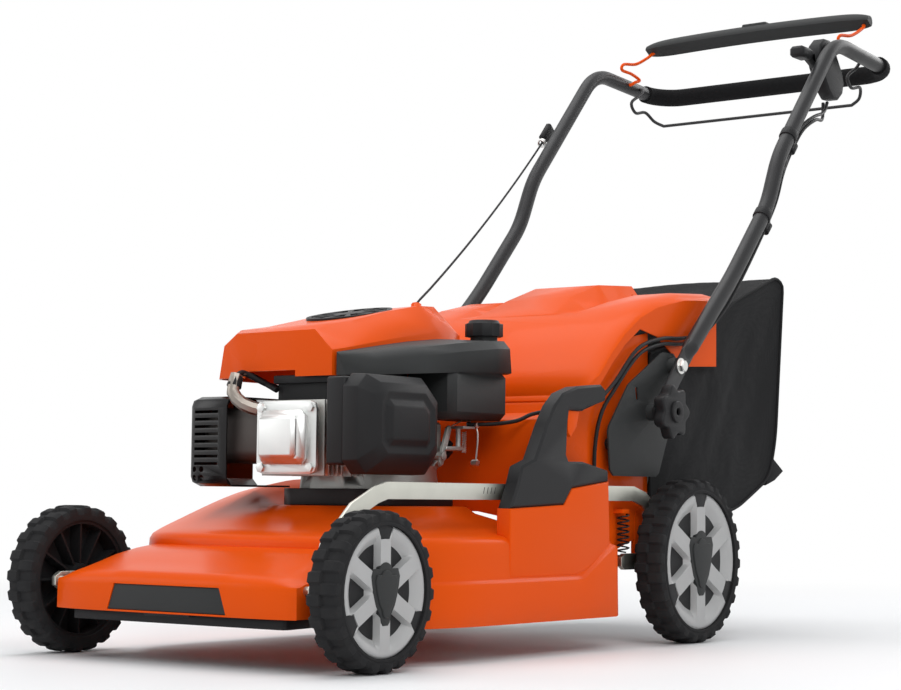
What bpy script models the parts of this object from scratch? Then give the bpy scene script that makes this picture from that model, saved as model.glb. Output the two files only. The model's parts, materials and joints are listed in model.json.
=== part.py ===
"""Self-propelled lawn mower, as separate pieces. Metres, +Z up, the front looks along -Y.

Y is measured from the point midway between the axles while the pieces are made. At the end
everything is shifted, so that the origin lies on the ground under the middle of the mower.
"""

import math

import bmesh
import bpy
import numpy as np
from mathutils import Matrix, Vector
from mathutils.bvhtree import BVHTree

# Fits
GAP = 0.0003
RUNNING = 0.0006
SHEET = 0.0025

# Wheels and axles
OVERALL_WIDTH = 0.580
WHEELBASE = 0.777
WHEEL_WIDTH = 0.049
FRONT_RADIUS = 0.101
REAR_RADIUS = 0.1245
FRONT_TRIM_RADIUS = 0.0815
REAR_TRIM_RADIUS = 0.1035
FRONT_LUGS = 12
REAR_LUGS = 14
LUG_HEIGHT = 0.0045
TRIM_THICKNESS = 0.009
TRIM_SEAT_DEPTH = 0.012
WEB_THICKNESS = 0.008
STUB_RADIUS = 0.006
HUB_RADIUS = 0.018
AXLE_THROW = 0.060
ARM_THICKNESS = 0.008
ARM_RADIUS = 0.012
ARM_TO_WHEEL = 0.011
WHEEL_INNER_X = OVERALL_WIDTH / 2 - WHEEL_WIDTH
ARM_OUTER_X = WHEEL_INNER_X - ARM_TO_WHEEL
ARM_INNER_X = ARM_OUTER_X - ARM_THICKNESS
AXLE_ROD_RADIUS = 0.006
CUT_HALF_SPAN = OVERALL_WIDTH / 2 - 0.040
SHAFT_RADIUS = 0.007
LUG_BACK = 0.020
LUG_UP = 0.056
LINK_THICKNESS = 0.0044
LINK_HALF_HEIGHT = 0.011
LINK_Z = 0.226
PIN_RADIUS = 0.004

# Deck shell
BLADE_Y = -0.065
DECK_BEYOND_WHEEL = 0.027
DECK_HALF_WIDTH = WHEEL_INNER_X + DECK_BEYOND_WHEEL
DECK_FRONT_REACH = 0.270
DECK_REAR_REACH = 0.260
SKIRT_BOTTOM_Z = 0.048
LEDGE_Z = 0.104
LEDGE_STEP = 0.0062
WALL_TOP_Z = 0.157
PLATEAU_Z = 0.205
PLATEAU_RADIUS = 0.138
VOLUTE_RISE = 0.066
SHAFT_HOLE_RADIUS = 0.030

# Bumper nose
BUMPER_FRONT_Y = -0.478
BUMPER_TO_WHEEL = 0.031
BUMPER_HALF_WIDTH = WHEEL_INNER_X - BUMPER_TO_WHEEL
BUMPER_BOTTOM_Z = 0.066
PANEL_BOTTOM_HALF = 0.104
PANEL_TOP_HALF = 0.092
PANEL_TOP_Z = 0.1015
PANEL_BOTTOM_Z = 0.0690
LIP_DROP = 0.013

# Discharge housing, flap and bag
HOUSING_TO_ARM = 0.0075
HOUSING_HALF_WIDTH = ARM_INNER_X - HOUSING_TO_ARM
HOUSING_FRONT_Y = 0.078
HOUSING_REAR_Y = 0.350
HOUSING_STEP_Z = 0.332
ROOF_CLEARANCE = 0.0028
ROOF_TOLERANCE = 0.0012
DIVIDER_X = 0.051
BAY_TOP_Z = 0.172
HINGE_Y = 0.158
HINGE_Z = 0.362
HINGE_ROD_RADIUS = 0.003
FLAP_BARREL_RADIUS = 0.0097
FLAP_BESIDE_HOUSING = 0.008
FLAP_HALF_WIDTH = HOUSING_HALF_WIDTH + FLAP_BESIDE_HOUSING
FLAP_REAR_Y = 0.550
BAG_BESIDE_HOUSING = 0.003
BAG_HALF_WIDTH = HOUSING_HALF_WIDTH + BAG_BESIDE_HOUSING
BAG_FRONT_Y = HOUSING_REAR_Y + GAP
BAG_FLOOR_SLOPE = 0.0321
BAG_TOP_SLOPE = 0.298
BAG_WALL = 0.003
FRAME_WIRE_RADIUS = 0.005

# Carry handle and riser
CARRY_HANDLE_WIDTH = 0.024
RISER_INSIDE_WHEEL = 0.0025
RISER_INNER_X = WHEEL_INNER_X - RISER_INSIDE_WHEEL
RISER_OUTER_X = RISER_INNER_X + CARRY_HANDLE_WIDTH
TRIGGER_HALF_WIDTH = 0.007

# Engine
CRANK_RADIUS = 0.0125
FAN_RADIUS = 0.054
CRANK_PULLEY_RADIUS = 0.026
GEAR_PULLEY_RADIUS = 0.038
BELT_GROOVE = 0.0055
BELT_WIDTH = 0.008
BELT_HEIGHT = 0.010
BELT_Z = 0.140
GEARBOX_X = 0.130
GEAR_PULLEY_Y = 0.262
BLADE_TO_SKIRT = 0.018
BLADE_LENGTH = 2 * (DECK_HALF_WIDTH - BLADE_TO_SKIRT)
BLADE_WIDTH = 0.055
BLADE_THICKNESS = 0.004
BLADE_Z = 0.066
ENGINE_BASE_TOP_Z = 0.2285
SUMP_TOP_Z = 0.262
CYLINDER_Z = 0.2975
COVER_BOTTOM_Z = 0.3835
COVER_FRONT_Y = -0.215
COVER_REAR_Y = 0.080
COVER_RIGHT_X = 0.0585
CAP_X = 0.120
CAP_Y = 0.048
CAP_RADIUS = 0.0265
CAP_SEAT_Z = 0.4505

# Handle
TUBE_RADIUS = 0.013
HANDLE_BESIDE_HOUSING = 0.0355
HANDLE_X = HOUSING_HALF_WIDTH + HANDLE_BESIDE_HOUSING
BOLT_Y = 0.3853
BOLT_Z = 0.4237
KNOB_Y = 0.322
KNOB_Z = 0.350
KINK_1 = (0.553, 0.578)
KINK_2 = (0.672, 0.706)
KINK_3 = (0.713, 0.795)
BEND = (0.921, 1.029)
CROSSBAR_Y = 1.160
CROSSBAR_Z = 1.015
BEND_CUT = 0.050
KINK_CUT = 0.030
CORNER_RADIUS = 0.055
GRIP_RADIUS = 0.0168
STRAP_THICKNESS = 0.005
STRAP_HALF_WIDTH = 0.014
BRACKET_BESIDE_HOUSING = 0.0175
BRACKET_X = HOUSING_HALF_WIDTH + BRACKET_BESIDE_HOUSING
BRACKET_THICKNESS = 0.003
BOLT_RADIUS = 0.005
KNOB_RADIUS = 0.042
KNOB_BESIDE_HANDLE = 0.0145
KNOB_THICKNESS = 0.022
KNOB_INNER_X = HANDLE_X + KNOB_BESIDE_HANDLE
KNOB_OUTER_X = KNOB_INNER_X + KNOB_THICKNESS
BAIL_WIRE_RADIUS = 0.003
BRAKE_PIVOT_Y = 1.025
BRAKE_PIVOT_Z = 1.022
BRAKE_GRIP_Y = 1.100
BRAKE_GRIP_Z = 1.100
BRAKE_GRIP_HALF = HANDLE_X - 0.012
DRIVE_PIVOT_Y = 1.065
DRIVE_PIVOT_Z = 1.019
DRIVE_RUN_Y = 1.095
DRIVE_RUN_Z = 0.948
LEVER_Y = 0.958
LEVER_Z = 0.962
CABLE_RADIUS = 0.003
ROPE_RADIUS = 0.0018
EYELET_FOOT = (0.0, 0.040, 0.488)
EYELET_MOUTH = (-0.004, 0.047, 0.5035)
GUIDE_RADIUS = 0.0065

# Lift spring
SPRING_CURLS = 7
SPRING_COIL_RADIUS = 0.0088
SPRING_WIRE_RADIUS = 0.0013
SPRING_Y = 0.262
CURL_POINTS = 7

FRONT_AXLE_Y = -WHEELBASE / 2
REAR_AXLE_Y = WHEELBASE / 2
FRONT_PIVOT = (FRONT_AXLE_Y - AXLE_THROW, FRONT_RADIUS)
REAR_PIVOT = (REAR_AXLE_Y - AXLE_THROW, REAR_RADIUS)
LINK_INNER_X = ARM_OUTER_X + 0.0018
LINK_OUTER_X = LINK_INNER_X + LINK_THICKNESS
STRAP_INNER_X = HANDLE_X - STRAP_THICKNESS / 2
STRAP_OUTER_X = HANDLE_X + STRAP_THICKNESS / 2
BRACKET_OUTER_X = BRACKET_X + BRACKET_THICKNESS
FRONT_END_Y = FRONT_AXLE_Y - FRONT_RADIUS
REAR_END_Y = CROSSBAR_Y + GRIP_RADIUS
ORIGIN_SHIFT_Y = -(FRONT_END_Y + REAR_END_Y) / 2

ORANGE = (0.84, 0.105, 0.006)
CHARCOAL = (0.045, 0.046, 0.048)
BLACK = (0.012, 0.012, 0.013)
STEEL = (0.62, 0.62, 0.60)
ALUMINIUM = (0.70, 0.70, 0.68)
GREY = (0.42, 0.42, 0.42)


def clear_scene():
    for obj in list(bpy.data.objects):
        bpy.data.objects.remove(obj, do_unlink=True)


def new_collection(name, hidden=False):
    collection = bpy.data.collections.new(name)
    collection.hide_render = hidden
    bpy.context.scene.collection.children.link(collection)
    return collection


clear_scene()
PARTS = new_collection("lawn_mower")
TOOLS = new_collection("cutters", hidden=True)


def material(name, colour, roughness, metallic=0.0):
    found = bpy.data.materials.get(name)
    if found:
        return found
    made = bpy.data.materials.new(name)
    made.use_nodes = True
    made.diffuse_color = (*colour, 1.0)
    shader = made.node_tree.nodes["Principled BSDF"]
    shader.inputs["Base Color"].default_value = (*colour, 1.0)
    shader.inputs["Roughness"].default_value = roughness
    shader.inputs["Metallic"].default_value = metallic
    return made


def object_of(bm, name="shape"):
    """A loose object from a bmesh, welded and with its normals facing out."""
    bmesh.ops.remove_doubles(bm, verts=bm.verts, dist=1e-6)
    bmesh.ops.recalc_face_normals(bm, faces=bm.faces)
    mesh = bpy.data.meshes.new(name)
    bm.to_mesh(mesh)
    bm.free()
    return bpy.data.objects.new(name, mesh)


def baked(obj):
    """The object's evaluated mesh as a new loose object, and the old one removed."""
    TOOLS.objects.link(obj)
    bpy.context.view_layer.update()
    graph = bpy.context.evaluated_depsgraph_get()
    mesh = bpy.data.meshes.new_from_object(obj.evaluated_get(graph))
    matrix = obj.matrix_world.copy()
    bpy.data.objects.remove(obj, do_unlink=True)
    bm = bmesh.new()
    bm.from_mesh(mesh)
    bpy.data.meshes.remove(mesh)
    bmesh.ops.transform(bm, matrix=matrix, verts=bm.verts)
    return object_of(bm)


def moved(obj, matrix):
    obj.data.transform(matrix)
    if matrix.determinant() < 0:
        obj.data.flip_normals()
    return obj


def mirrored(obj):
    """A copy of the object reflected in the middle plane of the mower."""
    copy = bpy.data.objects.new(obj.name, obj.data.copy())
    return moved(copy, Matrix.Scale(-1, 4, (1, 0, 0)))


AXIS_MATRICES = {
    "X": Matrix(((0, 0, 1, 0), (1, 0, 0, 0), (0, 1, 0, 0), (0, 0, 0, 1))),
    "Y": Matrix(((1, 0, 0, 0), (0, 0, 1, 0), (0, 1, 0, 0), (0, 0, 0, 1))),
    "Z": Matrix.Identity(4),
}


def plate(outlines, axis, low, high, bevel=0.0):
    """A flat plate between two planes. Each outline is in the plane's own two axes."""
    curve = bpy.data.curves.new("outline", "CURVE")
    curve.dimensions = "2D"
    curve.fill_mode = "BOTH"
    curve.extrude = (high - low) / 2 - bevel
    curve.bevel_depth = bevel
    curve.bevel_resolution = 0
    curve.offset = -bevel
    for outline in outlines:
        spline = curve.splines.new("POLY")
        spline.points.add(len(outline) - 1)
        for point, (u, v) in zip(spline.points, outline):
            point.co = (u, v, 0, 1)
        spline.use_cyclic_u = True
    shape = baked(bpy.data.objects.new("outline", curve))
    moved(shape, Matrix.Translation((0, 0, (low + high) / 2)))
    matrix = AXIS_MATRICES[axis]
    return moved(shape, matrix)


def rounded(points, radius, steps=3):
    """The polygon with each corner turned into an arc of this radius."""
    result = []
    count = len(points)
    for i, corner in enumerate(points):
        corner = Vector(corner)
        before = Vector(points[i - 1]) - corner
        after = Vector(points[(i + 1) % count]) - corner
        half_angle = before.angle(after) / 2
        cut = min(radius / math.tan(half_angle), before.length * 0.48, after.length * 0.48)
        start = corner + before.normalized() * cut
        end = corner + after.normalized() * cut
        for k in range(steps + 1):
            t = k / steps
            result.append(tuple(start * (1 - t) ** 2 + corner * 2 * t * (1 - t) + end * t * t))
    return result


def circle(centre, radius, steps=16, phase=0.0):
    return [
        (
            centre[0] + radius * math.cos(2 * math.pi * k / steps + phase),
            centre[1] + radius * math.sin(2 * math.pi * k / steps + phase),
        )
        for k in range(steps)
    ]


def band(points, half_width):
    """The outline of a strip of even width along a line of points, with square ends."""
    left, right = [], []
    for i, point in enumerate(points):
        before = Vector(points[max(i - 1, 0)])
        after = Vector(points[min(i + 1, len(points) - 1)])
        along = (after - before).normalized()
        side = Vector((-along.y, along.x)) * half_width
        left.append(tuple(Vector(point) + side))
        right.append(tuple(Vector(point) - side))
    return left + right[::-1]


def block(low, high, bevel=0.0, segments=1):
    bm = bmesh.new()
    size = Vector(high) - Vector(low)
    middle = (Vector(high) + Vector(low)) / 2
    matrix = Matrix.Translation(middle) @ Matrix.Diagonal((*size, 1))
    bmesh.ops.create_cube(bm, size=1, matrix=matrix)
    if bevel:
        bmesh.ops.bevel(bm, geom=bm.edges, offset=bevel, segments=segments, affect="EDGES", profile=0.5)
    return object_of(bm)


def rod(start, end, radius, steps=10, end_radius=None):
    """A round bar between two points, or a cone where the radii differ."""
    start, end = Vector(start), Vector(end)
    bm = bmesh.new()
    bmesh.ops.create_cone(
        bm,
        cap_ends=True,
        segments=steps,
        radius1=radius,
        radius2=radius if end_radius is None else end_radius,
        depth=(end - start).length,
    )
    turn = (end - start).to_track_quat("Z", "Y").to_matrix().to_4x4()
    bmesh.ops.transform(bm, matrix=Matrix.Translation((start + end) / 2) @ turn, verts=bm.verts)
    return object_of(bm)


def tube(points, radius, resolution=2, cyclic=False):
    """A round wire or tube along the points, capped at its ends."""
    curve = bpy.data.curves.new("wire", "CURVE")
    curve.dimensions = "3D"
    curve.bevel_depth = radius
    curve.bevel_resolution = resolution
    curve.use_fill_caps = not cyclic
    spline = curve.splines.new("POLY")
    spline.points.add(len(points) - 1)
    for point, place in zip(spline.points, points):
        point.co = (*place, 1)
    spline.use_cyclic_u = cyclic
    return baked(bpy.data.objects.new("wire", curve))


def smooth(points, per_span=4):
    """Points on a Catmull-Rom curve through the given points."""
    points = [Vector(p) for p in points]
    line = []
    for i in range(len(points) - 1):
        a, b, c, d = points[max(i - 1, 0)], points[i], points[i + 1], points[min(i + 2, len(points) - 1)]
        for k in range(per_span):
            t = k / per_span
            line.append(
                0.5
                * (
                    2 * b
                    + (c - a) * t
                    + (2 * a - 5 * b + 4 * c - d) * t * t
                    + (3 * b - a - 3 * c + d) * t**3
                )
            )
    line.append(points[-1])
    return line


def simplified(points, tolerance):
    """The line without the points that lie closer than the tolerance to its chords."""
    first, last = Vector(points[0]), Vector(points[-1])
    chord = (last - first).normalized()
    away = []
    for point in points:
        reach = Vector(point) - first
        away.append((reach - chord * reach.dot(chord)).length)
    worst = away.index(max(away))
    if away[worst] < tolerance:
        return [tuple(points[0]), tuple(points[-1])]
    return simplified(points[: worst + 1], tolerance)[:-1] + simplified(points[worst:], tolerance)


def turned(profile, centre, steps=24, axis="Z"):
    """A Screw of a closed profile of (radius, height) pairs about an axis through the centre."""
    bm = bmesh.new()
    verts = [bm.verts.new((r, 0, h)) for r, h in profile]
    for a, b in zip(verts, verts[1:] + verts[:1]):
        bm.edges.new((a, b))
    mesh = bpy.data.meshes.new("profile")
    bm.to_mesh(mesh)
    bm.free()
    obj = bpy.data.objects.new("profile", mesh)
    screw = obj.modifiers.new("Screw", "SCREW")
    screw.steps = screw.render_steps = steps
    screw.use_merge_vertices = True
    screw.merge_threshold = 1e-5
    shape = baked(obj)
    turn = {"Z": Matrix.Identity(4), "X": Matrix.Rotation(math.pi / 2, 4, "Y")}[axis]
    return moved(shape, Matrix.Translation(centre) @ turn)


def loft(rings, closed=True, cap_ends=(True, True)):
    """Quads between rings of equal count. closed joins each ring's last point to its first."""
    bm = bmesh.new()
    rows = [[bm.verts.new(p) for p in ring] for ring in rings]
    count = len(rows[0])
    for lower, upper in zip(rows, rows[1:]):
        for i in range(count if closed else count - 1):
            j = (i + 1) % count
            bm.faces.new((lower[i], lower[j], upper[j], upper[i]))
    if cap_ends[0]:
        bm.faces.new(rows[0])
    if cap_ends[1]:
        bm.faces.new(rows[-1][::-1])
    return bm


def shell(bm, thickness):
    """A thin wall grown inwards from an open surface."""
    obj = object_of(bm)
    solidify = obj.modifiers.new("Solidify", "SOLIDIFY")
    solidify.thickness = thickness
    solidify.offset = -1.0
    return baked(obj)


def join_tool(base, shape, operation):
    """Joins the shape to the base, or cuts it from it, with an exact Boolean."""
    shape.name = base.name + "_tool"
    shape.hide_render = True
    shape.display_type = "WIRE"
    TOOLS.objects.link(shape)
    boolean = base.modifiers.new(operation.title(), "BOOLEAN")
    boolean.operation = operation
    boolean.solver = "EXACT"
    boolean.object = shape


def piece(name, base, surface, add=(), cut=(), pivot=None):
    """A named node: the base shape with shapes joined to it and then cut from it."""
    base.name = name
    base.data.name = name
    for shape in add:
        join_tool(base, shape, "UNION")
    for shape in cut:
        join_tool(base, shape, "DIFFERENCE")
    base.data.materials.clear()
    base.data.materials.append(surface)
    if pivot:
        base.data.transform(Matrix.Translation(-Vector(pivot)))
        base.location = pivot
    PARTS.objects.link(base)
    return base


def ease(value, low, high):
    """A smooth step from 0 at low to 1 at high."""
    t = min(max((value - low) / (high - low), 0.0), 1.0)
    return t * t * (3 - 2 * t)


# Materials

PAINT = material("orange_paint", ORANGE, 0.25)
TRIM_GREY = material("grey_trim", GREY, 0.45)
TYRE = material("tyre_black", BLACK, 0.8)
PLASTIC = material("black_plastic", BLACK, 0.55)
SOFT_BLACK = material("charcoal_plastic", CHARCOAL, 0.5)
TUBE_PAINT = material("charcoal_paint", CHARCOAL, 0.4)
CAST = material("cast_aluminium", ALUMINIUM, 0.45, 1.0)
BRIGHT = material("bright_steel", STEEL, 0.3, 1.0)
ORANGE_PLASTIC = material("orange_plastic", ORANGE, 0.4)
FABRIC = material("black_fabric", BLACK, 0.9)
RUBBER = material("black_rubber", BLACK, 0.7)


# Wheels


def wheel_profile(radius, trim_radius):
    """(distance out from the middle plane, radius, tread row) round the tyre's section."""
    half = WHEEL_WIDTH / 2
    seat = half - TRIM_SEAT_DEPTH
    bore = STUB_RADIUS + RUNNING
    web_inner = seat - WEB_THICKNESS
    return [
        (half, trim_radius + 0.004, 0),
        (half, radius - 0.011, 1),
        (half - 0.009, radius - LUG_HEIGHT, 1),
        (-half + 0.009, radius - LUG_HEIGHT, -1),
        (-half, radius - 0.011, -1),
        (-half, trim_radius, 0),
        (web_inner, trim_radius - 0.006, 0),
        (web_inner, HUB_RADIUS + 0.002, 0),
        (-half + 0.002, HUB_RADIUS, 0),
        (-half + 0.002, bore, 0),
        (seat, bore, 0),
        (seat, trim_radius + 0.001, 0),
    ]


def tyre(radius, trim_radius, lugs, centre, side):
    """A wheel with a staggered two-row tread, its web and its hub bore."""
    columns = 2 * lugs
    profile = wheel_profile(radius, trim_radius)
    rings = []
    for k in range(columns):
        angle = 2 * math.pi * k / columns - math.pi / 2
        raised_row = 1 if k % 2 == 0 else -1
        ring = []
        for out, reach, row in profile:
            reach += LUG_HEIGHT if row == raised_row else 0.0
            ring.append(
                (
                    side * (centre[0] + out),
                    centre[1] + reach * math.cos(angle),
                    centre[2] + reach * math.sin(angle),
                )
            )
        rings.append(ring)
    rings.append(rings[0])
    return object_of(loft(rings, cap_ends=(False, False)))


def polar(radius, degrees):
    """A point of a wheel's face, with the angle measured from the top."""
    angle = math.radians(degrees)
    return (radius * math.sin(angle), radius * math.cos(angle))


def trim_outlines(radius):
    """The trim disc: three notches in its rim and six windows between its spokes."""
    rim = []
    for third in range(3):
        base = 120 * third
        rim += [polar(radius, base + a) for a in (14, 32, 51, 69, 88, 106)]
        rim += [
            polar(radius * 0.83, base + 113),
            polar(radius * 0.81, base + 120),
            polar(radius * 0.83, base + 127),
        ]
    windows = []
    for k in range(6):
        middle = 60 * k + 30
        corners = [(0.47, -15), (0.70, -17), (0.74, 0), (0.70, 17), (0.47, 15)]
        windows.append([polar(radius * r, middle + a) for r, a in corners][::-1])
    return [rim] + windows


def cap_outline(radius):
    """The centre cap: three long lobes with a small bump between each two."""
    points = []
    for k in range(18):
        degrees = 20 * k
        lobe = 0.5 + 0.5 * math.cos(math.radians(3 * (degrees - 60)))
        bump = 0.5 - 0.5 * math.cos(math.radians(3 * (degrees - 60)))
        points.append(polar(radius * (0.27 + 0.15 * lobe**2 + 0.03 * bump**4), degrees))
    return points


def trim(radius, centre, side):
    seat = WHEEL_WIDTH / 2 - TRIM_SEAT_DEPTH + GAP
    face = seat + TRIM_THICKNESS
    disc = plate(trim_outlines(radius - 0.0005), "X", seat, face)
    cap = plate([cap_outline(radius)], "X", face - 0.004, face + 0.002)
    place = Matrix.Translation(centre)
    if side < 0:
        place = Matrix.Scale(-1, 4, (1, 0, 0)) @ place
    return moved(disc, place), moved(cap, place.copy())


def make_wheels():
    sets = (
        ("front", FRONT_AXLE_Y, FRONT_RADIUS, FRONT_TRIM_RADIUS, FRONT_LUGS),
        ("rear", REAR_AXLE_Y, REAR_RADIUS, REAR_TRIM_RADIUS, REAR_LUGS),
    )
    for end, y, radius, trim_radius, lugs in sets:
        for hand, side in (("left", 1), ("right", -1)):
            centre = (OVERALL_WIDTH / 2 - WHEEL_WIDTH / 2, y, radius)
            hub = (side * centre[0], y, radius)
            piece(f"tyre_{end}_{hand}", tyre(radius, trim_radius, lugs, centre, side), TYRE, pivot=hub)
            disc, cap = trim(trim_radius, centre, side)
            piece(f"trim_{end}_{hand}", disc, TRIM_GREY, add=[cap], pivot=hub)


# Axles and link


def arm(pivot, axle, lug):
    """One crank arm of a plate: from the pivot to the wheel, and up to the link where there is one."""
    shapes = [plate([band_with_ends(pivot, axle, ARM_RADIUS, 3)], "X", ARM_INNER_X, ARM_OUTER_X)]
    if lug:
        shapes.append(plate([band_with_ends(pivot, lug, ARM_RADIUS * 0.8, 3)], "X", ARM_INNER_X, ARM_OUTER_X))
        shapes.append(rod((ARM_OUTER_X - 0.002, *lug), (LINK_OUTER_X + 0.0015, *lug), PIN_RADIUS))
    return shapes


def band_with_ends(start, end, radius, steps=4):
    """A strip with a half circle round each end."""
    start, end = Vector(start), Vector(end)
    heading = math.atan2((end - start).y, (end - start).x)
    points = []
    for centre, base in ((end, heading - math.pi / 2), (start, heading + math.pi / 2)):
        for k in range(steps + 1):
            angle = base + math.pi * k / steps
            points.append((centre.x + radius * math.cos(angle), centre.y + radius * math.sin(angle)))
    return points


def stub(axle, side):
    outer = OVERALL_WIDTH / 2 - TRIM_SEAT_DEPTH - 0.001
    return rod((side * (ARM_OUTER_X - 0.002), *axle), (side * outer, *axle), STUB_RADIUS)


def make_axles():
    front_axle = (FRONT_AXLE_Y, FRONT_RADIUS)
    front_lug = (FRONT_PIVOT[0] + LUG_BACK, FRONT_PIVOT[1] + LUG_UP)
    inside = ARM_OUTER_X - 0.002
    cross = rod((-inside, *FRONT_PIVOT), (inside, *FRONT_PIVOT), AXLE_ROD_RADIUS)
    near = arm(FRONT_PIVOT, front_axle, front_lug)
    far = [mirrored(s) for s in arm(FRONT_PIVOT, front_axle, None)]
    stubs = [stub(front_axle, 1), stub(front_axle, -1)]
    piece("front_axle", cross, BRIGHT, add=near + far + stubs, pivot=(0, *FRONT_PIVOT))

    rear_axle = (REAR_AXLE_Y, REAR_RADIUS)
    rear_lug = (REAR_PIVOT[0] + LUG_BACK, REAR_PIVOT[1] + LUG_UP)
    cross = rod((-inside, *rear_axle), (inside, *rear_axle), AXLE_ROD_RADIUS)
    near = arm(REAR_PIVOT, rear_axle, rear_lug)
    spring_foot = (SPRING_Y, REAR_PIVOT[1])
    near.append(
        plate([band_with_ends(REAR_PIVOT, spring_foot, ARM_RADIUS, 3)], "X", ARM_INNER_X, ARM_OUTER_X)
    )
    far = [mirrored(s) for s in arm(REAR_PIVOT, rear_axle, None)]
    bore = rod((-CUT_HALF_SPAN, *REAR_PIVOT), (CUT_HALF_SPAN, *REAR_PIVOT), SHAFT_RADIUS + RUNNING, 12)
    stubs = [stub(rear_axle, 1), stub(rear_axle, -1)]
    piece("rear_axle", cross, BRIGHT, add=near + far + stubs, cut=[bore], pivot=(0, *REAR_PIVOT))

    shaft_end = WHEEL_INNER_X - 0.002
    shaft = rod((-shaft_end, *REAR_PIVOT), (shaft_end, *REAR_PIVOT), SHAFT_RADIUS, 12)
    piece("drive_shaft", shaft, BRIGHT, pivot=(0, *REAR_PIVOT))

    line = [
        front_lug,
        (front_lug[0] + 0.016, front_lug[1] + 0.020),
        (front_lug[0] + 0.041, LINK_Z - 0.026),
        (front_lug[0] + 0.085, LINK_Z - 0.006),
        (front_lug[0] + 0.108, LINK_Z),
        (rear_lug[0] - 0.072, LINK_Z),
        (rear_lug[0] - 0.042, LINK_Z - 0.008),
        (rear_lug[0] - 0.020, LINK_Z - 0.022),
        rear_lug,
    ]
    outline = band(line, LINK_HALF_HEIGHT)
    eyes = [
        plate([circle(p, LINK_HALF_HEIGHT, 10)], "X", LINK_INNER_X, LINK_OUTER_X)
        for p in (front_lug, rear_lug)
    ]
    holes = [
        rod((LINK_INNER_X - 0.01, *p), (LINK_OUTER_X + 0.01, *p), PIN_RADIUS + RUNNING, 10)
        for p in (front_lug, rear_lug)
    ]
    bar = plate([outline], "X", LINK_INNER_X, LINK_OUTER_X)
    piece("height_link", bar, BRIGHT, add=eyes, cut=holes, pivot=(LINK_INNER_X, *rear_lug))


def coil(centre, radius, curls, low, high, points_per_curl, handed=1.0):
    """The middle line of a helical spring standing on end."""
    total = int(curls * points_per_curl)
    line = []
    for k in range(total + 1):
        angle = math.pi / 2 + handed * 2 * math.pi * k / points_per_curl
        z = low + (high - low) * k / total
        line.append((centre[0] + radius * math.cos(angle), centre[1] + radius * math.sin(angle), z))
    return line


def least_self_gap(line, wire_radius, points_per_curl):
    """The narrowest space between two turns of the same wire."""
    points = np.array(line)
    apart = np.linalg.norm(points[:, None] - points[None], axis=2)
    order = np.arange(len(points))
    far_along = abs(order[:, None] - order[None]) > points_per_curl // 2
    return apart[far_along].min() - 2 * wire_radius


def make_lift_spring():
    x = (ARM_INNER_X + ARM_OUTER_X) / 2
    low = REAR_PIVOT[1] + ARM_RADIUS + SPRING_WIRE_RADIUS + GAP
    high = LINK_Z - LINK_HALF_HEIGHT - 0.020
    line = coil((x, SPRING_Y), SPRING_COIL_RADIUS, SPRING_CURLS, low, high, CURL_POINTS)
    gap = least_self_gap(line, SPRING_WIRE_RADIUS, CURL_POINTS)
    print(f"lift spring: least gap between its curls {gap * 1000:.2f} mm")
    piece("lift_spring", tube(line, SPRING_WIRE_RADIUS, 1), PLASTIC)
    return high


# Deck


FRONT_POINTS = 14


def deck_outline(inset, grow):
    """The deck in plan: a rounded front, straight sides and a squarer rear with rounded corners."""
    half = DECK_HALF_WIDTH - inset + grow
    front = DECK_FRONT_REACH - inset + grow
    rear_y = BLADE_Y + DECK_REAR_REACH - inset + grow
    corner = 0.018 + inset
    right = [
        (half, BLADE_Y + 0.160),
        (half, rear_y - corner),
        (half - corner * 0.3, rear_y - corner * 0.3),
        (half - corner, rear_y),
        (0.100, rear_y),
    ]
    points = right + [(-x, y) for x, y in reversed(right)]
    for k in range(FRONT_POINTS + 1):
        angle = math.pi + math.pi * k / FRONT_POINTS
        c, s = math.cos(angle), math.sin(angle)
        scale = (c**4 + s**4) ** -0.25
        points.append((half * c * scale, BLADE_Y + front * s * scale))
    return points


def towards_circle(outline, radius, share):
    """The outline drawn in towards a circle about the crankshaft."""
    points = []
    for x, y in outline:
        reach = math.hypot(x, y - BLADE_Y)
        scale = (reach * (1 - share) + radius * share) / reach
        points.append((x * scale, BLADE_Y + (y - BLADE_Y) * scale))
    return points


def volute(x, y):
    """How far the roof rises towards the discharge, on the side away from the carry handle."""
    return VOLUTE_RISE * ease(y, BLADE_Y - 0.235, BLADE_Y + 0.075) * ease(-x, -0.02, 0.20)


def ledge_sweep(y):
    """How far the ledge climbs at the rear corners."""
    return 0.045 * ease(y, BLADE_Y + 0.165, BLADE_Y + 0.230)


def deck_rings(grow=0.0):
    """The deck's outer surface from the skirt's lower edge up to the hole for the crankshaft."""
    levels = [
        (0.0, SKIRT_BOTTOM_Z, 0.0, 0, 0),
        (0.001, LEDGE_Z, 0.0, 0, 1),
        (LEDGE_STEP, LEDGE_Z + 0.004, 0.0, 0, 1),
        (LEDGE_STEP + 0.001, WALL_TOP_Z, 0.0, 1, 0),
        (LEDGE_STEP + 0.011, WALL_TOP_Z + 0.009, 0.0, 1, 0),
        (0.040, WALL_TOP_Z + 0.022, 0.45, 1, 0),
        (0.040, PLATEAU_Z, 1.0, 0, 0),
    ]
    rings = []
    for inset, z, share, rises, sweeps in levels:
        outline = towards_circle(deck_outline(inset, grow), PLATEAU_RADIUS, share)
        ring = []
        for x, y in outline:
            height = z + grow + rises * volute(x, y) + sweeps * ledge_sweep(y)
            ring.append((x, y, height))
        rings.append(ring)
    return rings


def deck_surface():
    hole = towards_circle(deck_outline(0.040, 0.0), SHAFT_HOLE_RADIUS, 1.0)
    return loft(deck_rings() + [[(x, y, PLATEAU_Z) for x, y in hole]], cap_ends=(False, False))


def deck_lump():
    """A search tree of the deck's outer surface, closed below."""
    lump = loft(deck_rings())
    tree = BVHTree.FromBMesh(lump)
    lump.free()
    return tree


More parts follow.
